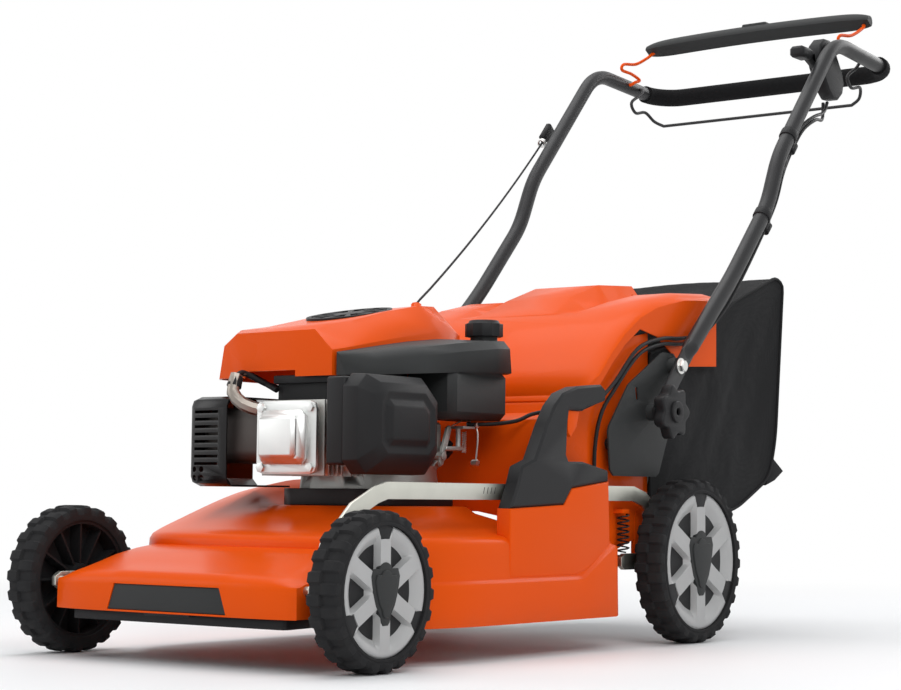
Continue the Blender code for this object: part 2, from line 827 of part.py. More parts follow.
def roof_heights(places):
    """How high the deck's roof is under each (x, y) place."""
    heights = []
    for x, y in places:
        hit = DECK_LUMP.ray_cast(Vector((x, y, 1)), Vector((0, 0, -1)))[0]
        heights.append(hit.z if hit else 0.0)
    return heights


DECK_LUMP = deck_lump()


def room_for_roof():
    """Shapes that trim the housing's front wall and its two side walls to the deck's roof."""
    wide = HOUSING_HALF_WIDTH + 0.01
    near = (-ROOF_CLEARANCE, 0.0, ROOF_CLEARANCE)
    line = []
    for k in range(150):
        x = -wide + 2 * wide * k / 149
        places = [(x + dx, HOUSING_FRONT_Y + depth) for depth in (0.0, 0.004, 0.009) for dx in near]
        line.append((x, max(roof_heights(places)) + ROOF_CLEARANCE))
    outline = [(-wide, 0.05)] + simplified(line, ROOF_TOLERANCE) + [(wide, 0.05)]
    shapes = [plate([outline], "Y", HOUSING_FRONT_Y - 0.01, HOUSING_FRONT_Y + 0.0092)]
    rear = BLADE_Y + DECK_REAR_REACH + GAP
    first = HOUSING_FRONT_Y - 0.01
    for side in (-1, 1):
        line = []
        for k in range(100):
            y = first + (rear - first) * k / 99
            walls = [side * (HOUSING_HALF_WIDTH - depth) for depth in (0.0, SHEET / 2, SHEET)]
            places = [(x, y + dy) for x in walls for dy in near]
            line.append((y, max(roof_heights(places)) + ROOF_CLEARANCE))
        outline = [(first, 0.05)] + simplified(line, ROOF_TOLERANCE) + [(rear, 0.05)]
        low, high = sorted((side * (HOUSING_HALF_WIDTH - 0.03), side * (HOUSING_HALF_WIDTH + 0.01)))
        shapes.append(plate([outline], "X", low, high))
    return shapes


def deck_front_y(x, inset):
    """Where the deck's front wall stands at this distance from the middle plane."""
    share = min(abs(x) / (DECK_HALF_WIDTH - inset), 0.999)
    return BLADE_Y - (DECK_FRONT_REACH - inset) * (1 - share**4) ** 0.25


def bumper_surface():
    """The nose: rows from side to side, each running up the front and back over the top."""
    edge = BUMPER_HALF_WIDTH
    rows = []
    stations = (-edge, -edge * 0.93, -edge * 0.55, -edge * 0.2, edge * 0.2, edge * 0.55, edge * 0.93, edge)
    for x in stations:
        drop = 0.010 * (abs(x) / edge) ** 6
        back = 0.012 * (abs(x) / edge) ** 6
        rear = deck_front_y(x, LEDGE_STEP + 0.001) + 0.007
        front = BUMPER_FRONT_Y
        rows.append(
            [
                (x, front + back, BUMPER_BOTTOM_Z),
                (x, front + back, 0.104),
                (x, front + 0.008 + back, 0.1165 - drop * 0.6),
                (x, front + 0.038, 0.1235 - drop * 0.4),
                (x, front + 0.095, 0.1400 - drop * 0.6),
                (x, rear, 0.1500),
            ]
        )
    for end, place in ((0, 0), (-1, len(rows))):
        side = rows[end]
        skirt = [(x * 1.002, y, BUMPER_BOTTOM_Z + 0.002 * (i > 0)) for i, (x, y, z) in enumerate(side)]
        rows.insert(0 if end == 0 else len(rows), skirt)
    return loft(rows, closed=False, cap_ends=(False, False))


def riser():
    """The upstand that carries the handle for lifting, on the operator's left."""
    low = LEDGE_Z + 0.006
    outline = [
        (-0.0850, low),
        (-0.0850, 0.2035),
        (0.0480, 0.2090),
        (0.0680, 0.2320),
        (0.1640, 0.2430),
        (0.1680, low + 0.042),
        (0.1180, low + 0.010),
        (0.0800, low),
    ]
    return plate([outline], "X", RISER_INNER_X, RISER_OUTER_X)


CHUTE_LEFT_X = 0.048
CHUTE_TO_HOUSING_WALL = 0.0195
CHUTE_RIGHT_X = -(HOUSING_HALF_WIDTH - CHUTE_TO_HOUSING_WALL)
CHUTE_FRONT_Y = 0.1035


def make_deck():
    body = shell(deck_surface(), SHEET)
    nose = shell(bumper_surface(), SHEET)
    panel_hole = plate(
        [panel_outline(GAP)], "Y", BUMPER_FRONT_Y - 0.02, BUMPER_FRONT_Y + 0.02
    )
    rod_hole = rod(
        (-CUT_HALF_SPAN, *FRONT_PIVOT), (CUT_HALF_SPAN, *FRONT_PIVOT), AXLE_ROD_RADIUS + RUNNING, 14
    )
    rear_edge_y = BLADE_Y + DECK_REAR_REACH
    chute = block((CHUTE_RIGHT_X, CHUTE_FRONT_Y, 0.060), (CHUTE_LEFT_X, rear_edge_y + 0.065, 0.300))
    belt_slot = block((0.053, rear_edge_y - 0.045, 0.122), (0.155, rear_edge_y + 0.055, 0.1545))
    piece("deck_shell", body, PAINT, add=[nose, riser()], cut=[panel_hole, rod_hole, chute, belt_slot])

    panel = plate(
        [panel_outline(0.0)], "Y", BUMPER_FRONT_Y + 0.0005, BUMPER_FRONT_Y + 0.0035
    )
    piece("bumper_panel", panel, SOFT_BLACK)

    lip = [
        (-0.190, BUMPER_FRONT_Y + 0.016),
        (0.190, BUMPER_FRONT_Y + 0.016),
        (0.175, BUMPER_FRONT_Y + 0.110),
        (-0.175, BUMPER_FRONT_Y + 0.110),
    ]
    lip_top = BUMPER_BOTTOM_Z - GAP
    flange = block(
        (-0.040, BUMPER_FRONT_Y + SHEET + GAP, lip_top - 0.003),
        (0.040, BUMPER_FRONT_Y + 0.030, PANEL_BOTTOM_Z - 2 * GAP),
    )
    base = plate([rounded(lip, 0.012)], "Z", lip_top - LIP_DROP, lip_top)
    piece("bumper_lip", base, PLASTIC, add=[flange])


def panel_outline(grow):
    return [
        (-PANEL_BOTTOM_HALF - grow, PANEL_BOTTOM_Z - grow),
        (PANEL_BOTTOM_HALF + grow, PANEL_BOTTOM_Z - grow),
        (PANEL_TOP_HALF + grow, PANEL_TOP_Z + grow),
        (-PANEL_TOP_HALF - grow, PANEL_TOP_Z + grow),
    ]


# Discharge housing and flap


FLAP_SIDE = [
    (HINGE_Y - 0.004, HINGE_Z + 0.0095),
    (HINGE_Y + 0.042, HINGE_Z + 0.052),
    (HINGE_Y + 0.078, HINGE_Z + 0.088),
    (HINGE_Y + 0.114, HINGE_Z + 0.118),
    (HINGE_Y + 0.157, HINGE_Z + 0.145),
    (HINGE_Y + 0.207, HINGE_Z + 0.165),
    (HINGE_Y + 0.290, HINGE_Z + 0.183),
    (FLAP_REAR_Y, HINGE_Z + 0.190),
]


def flap_height(x, y, z):
    """The flap's top over its side line: a raised middle, with a groove on either side of it."""
    rise = ease(y, HINGE_Y + 0.150, HINGE_Y + 0.260)
    across = abs(x)
    groove = ease(across, 0.074, 0.094) * (1 - ease(across, 0.104, 0.132))
    middle = 1 - ease(across, 0.060, 0.088)
    return z + rise * (0.020 * middle - 0.020 * groove)


def flap_surface():
    half = (0.062, 0.090, 0.105, 0.130, FLAP_HALF_WIDTH - 0.0275, FLAP_HALF_WIDTH - 0.0075)
    stations = [-x for x in half[::-1]] + list(half)
    rows = []
    for x in stations:
        drop = 0.006 * ease(abs(x), FLAP_HALF_WIDTH - 0.0275, FLAP_HALF_WIDTH - 0.0065)
        rows.append([(x, y, flap_height(x, y, z) - drop * (i > 0)) for i, (y, z) in enumerate(FLAP_SIDE)])
    for side in (-1, 1):
        skirt = []
        lower = []
        for i, (y, z) in enumerate(FLAP_SIDE):
            depth = 0.014 + 0.090 * ease(y, HINGE_Y + 0.150, HINGE_Y + 0.300)
            skirt.append((side * FLAP_HALF_WIDTH, y, z - 0.013))
            lower.append((side * FLAP_HALF_WIDTH, y, z - 0.013 - depth * (i > 0) - 0.002))
        if side < 0:
            rows = [lower, skirt] + rows
        else:
            rows = rows + [skirt, lower]
    return loft(rows, closed=False, cap_ends=(False, False))


def housing_side():
    """The housing's side view, from its foot on the deck round to the mouth of the chute."""
    return [
        (HOUSING_FRONT_Y, 0.140),
        (HOUSING_FRONT_Y + 0.006, HOUSING_STEP_Z - 0.014),
        (HOUSING_FRONT_Y + 0.014, HOUSING_STEP_Z),
        (HINGE_Y - 0.017, HOUSING_STEP_Z + 0.012),
        (HINGE_Y - 0.012, HINGE_Z - 0.006),
        (HINGE_Y - 0.005, HINGE_Z + 0.0045),
        (HINGE_Y + 0.005, HINGE_Z + 0.0045),
        (HINGE_Y + 0.014, HINGE_Z + 0.006),
        (HINGE_Y + 0.070, HINGE_Z + 0.060),
        (HINGE_Y + 0.150, HINGE_Z + 0.104),
        (HOUSING_REAR_Y, HINGE_Z + 0.112),
        (HOUSING_REAR_Y, 0.168),
        (0.212, 0.128),
    ]


def housing_inside():
    """The hollow of the housing, open at the back, and at the top behind the hinge."""
    return [
        (HOUSING_FRONT_Y + SHEET, 0.100),
        (HOUSING_FRONT_Y + 0.006 + SHEET, HOUSING_STEP_Z - 0.016),
        (HOUSING_FRONT_Y + 0.016, HOUSING_STEP_Z - SHEET),
        (HINGE_Y - 0.016, HOUSING_STEP_Z + 0.010),
        (HINGE_Y - 0.0095, HOUSING_STEP_Z + 0.012),
        (HINGE_Y - 0.0095, HINGE_Z + 0.200),
        (HOUSING_REAR_Y + 0.050, HINGE_Z + 0.200),
        (HOUSING_REAR_Y + 0.050, 0.1705 + 0.0165),
        (HOUSING_REAR_Y, 0.1705),
        (0.212, 0.1305),
        (0.195, 0.100),
    ]


def make_housing(spring_top):
    wide = HOUSING_HALF_WIDTH
    outer = plate([housing_side()], "X", -wide, wide)
    inner = plate([housing_inside()], "X", -wide + SHEET, wide - SHEET)
    hinge_rod = rod((-wide + 0.001, HINGE_Y, HINGE_Z), (wide - 0.001, HINGE_Y, HINGE_Z), HINGE_ROD_RADIUS, 8)
    ears = []
    holes = []
    for side in (-1, 1):
        low, high = sorted((side * (wide - 0.006), side * (wide + 0.0006)))
        ear = plate([band_with_ends(REAR_PIVOT, (REAR_PIVOT[0], 0.190), 0.0155)], "X", low, high)
        ears.append(ear)
    holes.append(rod((-CUT_HALF_SPAN, *REAR_PIVOT), (CUT_HALF_SPAN, *REAR_PIVOT), SHAFT_RADIUS + RUNNING, 16))
    seat_x = (ARM_INNER_X + ARM_OUTER_X) / 2
    seat_low = spring_top + SPRING_WIRE_RADIUS + GAP
    reach = SPRING_COIL_RADIUS + 0.0005
    seat = block(
        (wide - 0.002, SPRING_Y - reach, seat_low), (seat_x + 0.005, SPRING_Y + reach, seat_low + 0.006)
    )
    inside_x = wide - SHEET
    rear_wall_y = BLADE_Y + DECK_REAR_REACH + 0.002
    bay = block(
        (DIVIDER_X + SHEET, rear_wall_y, 0.100), (inside_x - 0.0003, HOUSING_REAR_Y + 0.01, BAY_TOP_Z)
    )
    divider = [
        (rear_wall_y, BAY_TOP_Z),
        (0.2120, 0.1290),
        (HOUSING_REAR_Y - 0.0002, 0.1690),
        (HOUSING_REAR_Y - 0.0002, 0.440),
        (0.2400, 0.395),
        (0.1900, 0.345),
        (rear_wall_y, 0.300),
    ]
    split = plate([divider], "X", DIVIDER_X, DIVIDER_X + SHEET - 0.0003)
    bay_roof = block(
        (DIVIDER_X + 0.001, rear_wall_y, BAY_TOP_Z),
        (inside_x + 0.001, HOUSING_REAR_Y - 0.0001, BAY_TOP_Z + SHEET),
    )
    housing = piece("rear_housing", outer, PAINT, cut=[inner] + room_for_roof() + [bay])
    for shape in [split, bay_roof] + ears + [seat, hinge_rod]:
        join_tool(housing, shape, "UNION")
    for shape in holes:
        join_tool(housing, shape, "DIFFERENCE")


def make_flap():
    skin = shell(flap_surface(), SHEET)
    reach = HOUSING_HALF_WIDTH - SHEET - 0.004
    barrel = rod((-reach, HINGE_Y, HINGE_Z), (reach, HINGE_Y, HINGE_Z), FLAP_BARREL_RADIUS, 8)
    bore = rod((-0.3, HINGE_Y, HINGE_Z), (0.3, HINGE_Y, HINGE_Z), HINGE_ROD_RADIUS + RUNNING, 8)
    piece("rear_flap", skin, PAINT, add=[barrel], cut=[bore], pivot=(0, HINGE_Y, HINGE_Z))


# Bag


def bag_side(inset, front):
    """The bag's side view, drawn in by the inset, with its mouth at the front."""
    low = 0.1970 + inset + BAG_FLOOR_SLOPE * (0.6100 - front)
    high = 0.5030 - inset - BAG_TOP_SLOPE * (0.5550 - front)
    return [
        (front, low),
        (0.6100 - inset * 0.4, 0.1970 + inset),
        (0.7380 - inset, 0.2550 + inset * 0.5),
        (0.7620 - inset, 0.3200),
        (0.7890 - inset, 0.5860 - inset),
        (0.7640 - inset, 0.5975 - inset),
        (0.6050, 0.5400 - inset),
        (0.5550, 0.5030 - inset),
        (front, high),
    ]


def make_bag():
    inset = BAG_WALL + 0.004
    skin = plate([bag_side(0.0, BAG_FRONT_Y)], "X", -BAG_HALF_WIDTH, BAG_HALF_WIDTH, bevel=0.008)
    inner_half = BAG_HALF_WIDTH - BAG_WALL
    hollow = plate([bag_side(inset, BAG_FRONT_Y - 0.05)], "X", -inner_half, inner_half, bevel=0.006)
    piece("grass_bag", skin, FABRIC, cut=[hollow])

    y = BAG_FRONT_Y + FRAME_WIRE_RADIUS + 0.003
    reach = FRAME_WIRE_RADIUS + GAP
    wide = inner_half - reach
    low = bag_side(inset, y)[0][1] + reach
    high = bag_side(inset, y)[-1][1] - reach - ROOF_TOLERANCE
    corners = [(-wide, low), (wide, low), (wide, high), (-wide, high)]
    ring = [(x, y, z) for x, z in rounded(corners, 0.03, 3)]
    frame = tube(ring, FRAME_WIRE_RADIUS, 2, cyclic=True)
    piece("bag_frame", frame, BRIGHT)


# Carry handle and trigger


def make_carry_handle():
    low_x = RISER_INNER_X
    high_x = low_x + CARRY_HANDLE_WIDTH
    outline = [
        (-0.0840, 0.2036 + GAP),
        (-0.0660, 0.2381),
        (-0.0570, 0.2614),
        (-0.0255, 0.2716),
        (0.0030, 0.3208),
        (0.0220, 0.3480),
        (0.0440, 0.3660),
        (0.0800, 0.3770),
        (0.1440, 0.3830),
        (0.1560, 0.3760),
        (0.1555, 0.3600),
        (0.1080, 0.3480),
        (0.0960, 0.3430),
        (0.0600, 0.3430),
        (0.0560, 0.3240),
        (0.0530, 0.2800),
        (0.0600, 0.2700),
        (0.0970, 0.2704),
        (0.1630, 0.2590),
        (0.1640, 0.2430 + GAP),
        (0.0680, 0.2320 + GAP),
        (0.0480, 0.2090 + GAP),
    ]
    grip = plate([outline], "X", low_x, high_x, bevel=0.003)
    middle = (low_x + high_x) / 2
    reach = TRIGGER_HALF_WIDTH + RUNNING
    trigger_room = block((middle - reach, 0.0614, 0.3400), (middle + reach, 0.0926, 0.3490))
    piece("carry_handle", grip, SOFT_BLACK, cut=[trigger_room])
    trigger = [
        (0.0620, 0.3430 - GAP),
        (0.0630, 0.3120),
        (0.0700, 0.3050),
        (0.0850, 0.3200),
        (0.0920, 0.3430 - GAP),
    ]
    finger = plate([trigger], "X", middle - TRIGGER_HALF_WIDTH, middle + TRIGGER_HALF_WIDTH)
    piece("height_trigger", finger, ORANGE_PLASTIC)


# Under the deck


def pulley_profile(radius, bore):
    """The half section of a V-belt pulley, standing on zero."""
    groove = radius - BELT_GROOVE
    half = BELT_HEIGHT / 2 + 0.0012
    return [
        (bore, half + 0.003),
        (radius, half + 0.003),
        (radius, half),
        (groove, half - 0.001),
        (groove, -half + 0.001),
        (radius, -half),
        (radius, -half - 0.003),
        (bore, -half - 0.003),
    ]


def belt_outline(grow):
    """The loop round the two pulleys, as the outline of both circles pulled tight."""
    a = Vector((0.0, BLADE_Y))
    b = Vector((GEARBOX_X, GEAR_PULLEY_Y))
    ra = CRANK_PULLEY_RADIUS - BELT_GROOVE + grow
    rb = GEAR_PULLEY_RADIUS - BELT_GROOVE + grow
    along = b - a
    heading = math.atan2(along.y, along.x)
    spread = math.acos((ra - rb) / along.length)
    points = []
    for centre, radius, first, last in (
        (b, rb, heading - spread, heading + spread),
        (a, ra, heading + spread, heading + 2 * math.pi - spread),
    ):
        reach = radius / math.cos((last - first) / 20)
        for k in range(11):
            angle = first + (last - first) * k / 10
            points.append((centre.x + reach * math.cos(angle), centre.y + reach * math.sin(angle)))
    return points


def make_drive():
    half = BELT_HEIGHT / 2 + 0.0012 + 0.003
    groove = CRANK_PULLEY_RADIUS - BELT_GROOVE
    blade_top = BLADE_Z + BLADE_THICKNESS / 2 + GAP
    fan_z = COVER_BOTTOM_Z + 0.012
    profile = [
        (0.0, fan_z + 0.012),
        (0.008, fan_z + 0.012),
        (CRANK_RADIUS, fan_z - 0.004),
        (CRANK_RADIUS, BELT_Z + half),
        (CRANK_PULLEY_RADIUS, BELT_Z + half),
        (CRANK_PULLEY_RADIUS, BELT_Z + half - 0.003),
        (groove, BELT_Z + half - 0.004),
        (groove, BELT_Z - half + 0.004),
        (CRANK_PULLEY_RADIUS, BELT_Z - half + 0.003),
        (CRANK_PULLEY_RADIUS, BELT_Z - half),
        (CRANK_RADIUS + 0.004, BELT_Z - half),
        (CRANK_RADIUS + 0.004, blade_top + 0.010),
        (0.030, blade_top + 0.008),
        (0.030, blade_top),
        (0.0, blade_top),
    ]
    shaft = turned(profile, (0, BLADE_Y, 0), 12)
    axis = (0, BLADE_Y, 0)
    piece("crankshaft", shaft, BRIGHT, pivot=axis)

    hub = turned(
        [
            (CRANK_RADIUS + GAP, fan_z + 0.004),
            (FAN_RADIUS, fan_z + 0.004),
            (FAN_RADIUS, fan_z - 0.003),
            (FAN_RADIUS - 0.010, fan_z - 0.003),
            (FAN_RADIUS - 0.012, fan_z),
            (CRANK_RADIUS + GAP, fan_z - 0.003),
        ],
        (0, BLADE_Y, 0),
        12,
    )
    blades = []
    for k in range(8):
        vane = block((0.024, -0.001, fan_z + 0.003), (FAN_RADIUS - 0.002, 0.001, fan_z + 0.020))
        turn = Matrix.Translation((0, BLADE_Y, 0)) @ Matrix.Rotation(2 * math.pi * (k + 0.3) / 8, 4, "Z")
        blades.append(moved(vane, turn))
    piece("flywheel_fan", hub, CAST, add=blades, pivot=axis)

    outline = []
    half_length = BLADE_LENGTH / 2
    wing = half_length - 0.095
    half_width = BLADE_WIDTH / 2
    for end in (1, -1):
        outline += [
            (end * half_length, -end * half_width),
            (end * half_length, end * half_width),
            (end * wing, end * half_width),
            (end * (wing - 0.020), end * (half_width - 0.006)),
        ]
    order = [(x, BLADE_Y + y) for x, y in outline]
    bar = plate([order], "Z", BLADE_Z - BLADE_THICKNESS / 2, BLADE_Z + BLADE_THICKNESS / 2)
    sails = []
    for end in (1, -1):
        section = [
            (BLADE_Y + end * (half_width - 0.004), BLADE_Z - 0.0015),
            (BLADE_Y + end * (half_width + 0.008), BLADE_Z + 0.011),
            (BLADE_Y + end * (half_width + 0.006), BLADE_Z + 0.013),
            (BLADE_Y + end * (half_width - 0.008), BLADE_Z + 0.0015),
        ]
        x0, x1 = sorted((end * (wing + 0.010), end * half_length * 0.995))
        sails.append(plate([section], "X", x0, x1))
    piece("blade", bar, BRIGHT, add=sails, pivot=axis)

    low = BLADE_Z - BLADE_THICKNESS / 2 - GAP
    head = plate([circle((0, BLADE_Y), 0.011, 6)], "Z", low - 0.012, low - 0.003)
    washer = rod((0, BLADE_Y, low - 0.004), (0, BLADE_Y, low), 0.019, 16)
    piece("blade_bolt", head, BRIGHT, add=[washer], pivot=axis)

    loops = [belt_outline(GAP + BELT_WIDTH), belt_outline(GAP)[::-1]]
    belt = plate(loops, "Z", BELT_Z - BELT_HEIGHT / 2, BELT_Z + BELT_HEIGHT / 2)
    piece("drive_belt", belt, RUBBER)

    case_low = REAR_PIVOT[1] - 0.024
    foot_top = BELT_Z - half - 0.0008
    case = block(
        (GEARBOX_X - 0.026, REAR_PIVOT[0] - 0.022, case_low),
        (GEARBOX_X + 0.026, REAR_PIVOT[0] + 0.022, REAR_PIVOT[1] + 0.020),
        0.004,
    )
    nose = block(
        (GEARBOX_X - 0.022, GEAR_PULLEY_Y - 0.022, case_low + 0.004),
        (GEARBOX_X + 0.022, REAR_PIVOT[0] - 0.010, foot_top),
        0.003,
    )
    post = (GEARBOX_X, GEAR_PULLEY_Y)
    stem = rod((*post, foot_top - 0.002), (*post, BELT_Z + half + 0.002), 0.005, 12)
    bore = rod((GEARBOX_X - 0.05, *REAR_PIVOT), (GEARBOX_X + 0.05, *REAR_PIVOT), SHAFT_RADIUS + RUNNING, 16)
    piece("gearbox", case, CAST, add=[nose, stem], cut=[bore])
    pulley = turned(pulley_profile(GEAR_PULLEY_RADIUS, 0.005 + RUNNING), (*post, BELT_Z), 16)
    piece("gearbox_pulley", pulley, BRIGHT, pivot=(*post, BELT_Z))


# Engine


FILLER_FOOT = (0.045, 0.005, 0.250)
FILLER_MOUTH = (0.058, 0.030, 0.282)


def shaft_way(low, high):
    """The passage for the crankshaft between two heights."""
    return rod((0, BLADE_Y, low), (0, BLADE_Y, high), CRANK_RADIUS + 0.0008, 20)


def make_engine_block():
    low = PLATEAU_Z + GAP
    base_outline = [
        (-0.088, -0.150),
        (-0.050, -0.183),
        (0.066, -0.183),
        (0.098, -0.140),
        (0.098, 0.006),
        (0.060, 0.050),
        (-0.060, 0.050),
        (-0.094, 0.010),
    ]
    base = plate([rounded(base_outline, 0.012, 1)], "Z", low, ENGINE_BASE_TOP_Z)
    piece("engine_base", base, PLASTIC, cut=[shaft_way(0.1, 0.3)])

    foot = ENGINE_BASE_TOP_Z + GAP
    sump = rod((0, BLADE_Y, foot), (0, BLADE_Y, SUMP_TOP_Z), 0.100, 20, end_radius=0.096)
    case = rod(
        (0, BLADE_Y, SUMP_TOP_Z - 0.004), (0, BLADE_Y, COVER_BOTTOM_Z - 0.004), 0.064, 20, end_radius=0.062
    )
    barrel = block((-0.045, -0.185, CYLINDER_Z - 0.045), (0.045, BLADE_Y, CYLINDER_Z + 0.045), 0.008)
    fins = []
    for k in range(3):
        y = -0.145 - 0.013 * k
        fins.append(block((-0.054, y - 0.0016, CYLINDER_Z - 0.052), (0.054, y + 0.0016, CYLINDER_Z + 0.052)))
    filler = rod(FILLER_FOOT, FILLER_MOUTH, 0.011, 12)
    cover_seat = block((0.044, -0.100, 0.366), (0.0635, -0.030, COVER_BOTTOM_Z - GAP))
    piece("crankcase", sump, CAST, add=[case, barrel, filler, cover_seat] + fins, cut=[shaft_way(0.1, 0.5)])

    low_y = -0.2425
    head = block((-0.042, low_y, CYLINDER_Z - 0.042), (0.042, -0.185 - GAP, CYLINDER_Z + 0.042), 0.004)
    fins = []
    for k in range(5):
        y = -0.194 - 0.0095 * k
        fins.append(block((-0.056, y - 0.0015, CYLINDER_Z - 0.052), (0.056, y + 0.0015, CYLINDER_Z + 0.052)))
    piece("cylinder_head", head, CAST, add=fins)

    half_w, half_h = 0.0535, 0.050
    rim_y = low_y - GAP
    corners = [(x * half_w, CYLINDER_Z + z * half_h) for x, z in ((-1, -1), (1, -1), (1, 1), (-1, 1))]
    flange = plate([rounded(corners, 0.012, 2)], "Y", rim_y - 0.005, rim_y)
    dome = block(
        (-0.041, rim_y - 0.022, CYLINDER_Z - 0.037), (0.041, rim_y - 0.002, CYLINDER_Z + 0.037), 0.008
    )
    pad = block(
        (-0.033, rim_y - 0.030, CYLINDER_Z - 0.029), (0.033, rim_y - 0.012, CYLINDER_Z + 0.029), 0.005
    )
    bolts = []
    for x in (-0.044, 0.044):
        for z in (-0.041, 0.041):
            bolts.append(plate([circle((x, CYLINDER_Z + z), 0.0068, 6)], "Y", rim_y - 0.010, rim_y - 0.003))
    piece("valve_cover", flange, BRIGHT, add=[dome, pad] + bolts)


def cover_sections():
    """Sections of the engine cover from front to back: left edge, shoulder, top, right shoulder, seam."""
    base = COVER_BOTTOM_Z - 0.008
    right = COVER_RIGHT_X
    return [
        (
            COVER_FRONT_Y,
            [
                (-0.158, base),
                (-0.148, 0.430),
                (-0.124, 0.447),
                (0.021, 0.448),
                (right - 0.006, 0.4185),
                (right - 0.006, base),
            ],
        ),
        (
            COVER_FRONT_Y + 0.022,
            [
                (-0.178, base),
                (-0.166, 0.434),
                (-0.136, 0.4540),
                (0.0215, 0.4555),
                (right, 0.4225),
                (right, base),
            ],
        ),
        (
            COVER_FRONT_Y + 0.080,
            [
                (-0.186, base),
                (-0.172, 0.441),
                (-0.136, 0.4630),
                (0.0220, 0.4655),
                (right, 0.4330),
                (right, base),
            ],
        ),
        (
            COVER_FRONT_Y + 0.160,
            [
                (-0.188, base),
                (-0.172, 0.450),
                (-0.134, 0.4805),
                (0.0230, 0.4850),
                (right, 0.4480),
                (right, base),
            ],
        ),
        (
            COVER_FRONT_Y + 0.232,
            [
                (-0.184, base),
                (-0.168, 0.458),
                (-0.130, 0.4945),
                (0.0230, 0.4985),
                (right, 0.4580),
                (right, base),
            ],
        ),
        (
            COVER_REAR_Y - 0.022,
            [
                (-0.172, base),
                (-0.158, 0.458),
                (-0.120, 0.4965),
                (0.0200, 0.5005),
                (right, 0.4630),
                (right, base),
            ],
        ),
        (
            COVER_REAR_Y,
            [
                (-0.158, base),
                (-0.142, 0.446),
                (-0.106, 0.4760),
                (0.0130, 0.4810),
                (right - 0.006, 0.4570),
                (right - 0.006, base),
            ],
        ),
    ]


GRILLE_X = -0.055
GRILLE_Y = -0.048
GRILLE_Z = 0.4850
GRILLE_RADIUS = 0.064
GRILLE_TILT = math.radians(11.5)


def grille_place():
    return Matrix.Translation((GRILLE_X, GRILLE_Y, GRILLE_Z)) @ Matrix.Rotation(GRILLE_TILT, 4, "X")


def make_covers():
    sections = cover_sections()
    hood = object_of(loft([[(x, y, z) for x, z in points] for y, points in sections]))
    rings = []
    for i, (y, points) in enumerate(sections):
        y += SHEET * ((i == 0) - (i == len(sections) - 1))
        ring = []
        for k, (x, z) in enumerate(points):
            side = 1 if k < 3 else -1
            low = k in (0, 5)
            ring.append((x + side * SHEET * (0.6 if k in (2, 3) else 1), y, z - (0.01 if low else SHEET)))
        rings.append(ring)
    hollow = object_of(loft(rings))
    notch = block(
        (-0.108, COVER_FRONT_Y - 0.03, 0.350), (-0.014, COVER_FRONT_Y + 0.010, COVER_BOTTOM_Z + 0.009)
    )
    below = block((-0.30, -0.40, 0.30), (0.20, 0.20, COVER_BOTTOM_Z))
    opening = moved(plate([circle((0, 0), GRILLE_RADIUS + GAP, 24)], "Z", -0.03, 0.03), grille_place())
    foot, mouth = Vector(EYELET_FOOT), Vector(EYELET_MOUTH)
    eyelet = rod(foot, mouth, 0.008, 10)
    rope_way = rod(foot - (mouth - foot), mouth + (mouth - foot), ROPE_RADIUS + RUNNING, 8)
    hood = piece("engine_cover", hood, PAINT, cut=[hollow, below, notch, opening])
    join_tool(hood, eyelet, "UNION")
    join_tool(hood, rope_way, "DIFFERENCE")

    slots = []
    for k in range(10):
        middle = 360 / 10 * (k + 0.5)
        slots.append(
            [
                polar(GRILLE_RADIUS * r, middle + a)
                for r, a in ((0.36, -11), (0.36, 11), (0.90, 13), (0.90, -13))
            ]
        )
    disc = plate([circle((0, 0), GRILLE_RADIUS, 24)] + slots, "Z", -0.0035, 0.0015)
    piece("cover_grille", moved(disc, grille_place()), PLASTIC)


def make_tank():
    inner = COVER_RIGHT_X + GAP + 0.0001
    rows = []
    sections = (
        (COVER_FRONT_Y + 0.002, 0.074, 0.4155, 0.3835),
        (COVER_FRONT_Y + 0.040, 0.105, 0.4215, 0.3850),
        (COVER_FRONT_Y + 0.100, 0.138, 0.4310, 0.3890),
        (COVER_FRONT_Y + 0.160, 0.158, 0.4400, 0.3930),
        (COVER_FRONT_Y + 0.230, 0.170, 0.4480, 0.3960),
        (COVER_FRONT_Y + 0.268, 0.166, 0.4500, 0.3970),
        (COVER_REAR_Y, 0.140, 0.4480, 0.3970),
    )
    for y, outer, top, low in sections:
        rows.append(
            [
                (inner, y, low),
                (inner, y, top),
                (outer - min(0.014, 0.5 * (outer - inner)), y, top - 0.006),
                (outer - 0.003, y, top - 0.018),
                (outer, y, low),
            ]
        )
    shroud = object_of(loft(rows))
    tank = block((0.069, -0.075, 0.328), (0.156, 0.062, 0.400), 0.010)
    neck = rod((CAP_X, CAP_Y, 0.425), (CAP_X, CAP_Y, CAP_SEAT_Z), 0.020, 16)
    piece("fuel_tank", shroud, SOFT_BLACK, add=[tank, neck])

    ribs = []
    for k in range(24):
        angle = 2 * math.pi * k / 24
        reach = CAP_RADIUS + 0.0014 * (1 if k % 2 == 0 else -1)
        ribs.append((CAP_X + reach * math.cos(angle), CAP_Y + reach * math.sin(angle)))
    top = CAP_SEAT_Z + GAP
    grip = plate([ribs], "Z", top, top + 0.019)
    crown = rod(
        (CAP_X, CAP_Y, top + 0.018),
        (CAP_X, CAP_Y, top + 0.024),
        CAP_RADIUS * 0.93,
        16,
        end_radius=CAP_RADIUS * 0.80,
    )
    piece("fuel_cap", grip, PLASTIC, add=[crown], pivot=(CAP_X, CAP_Y, top))


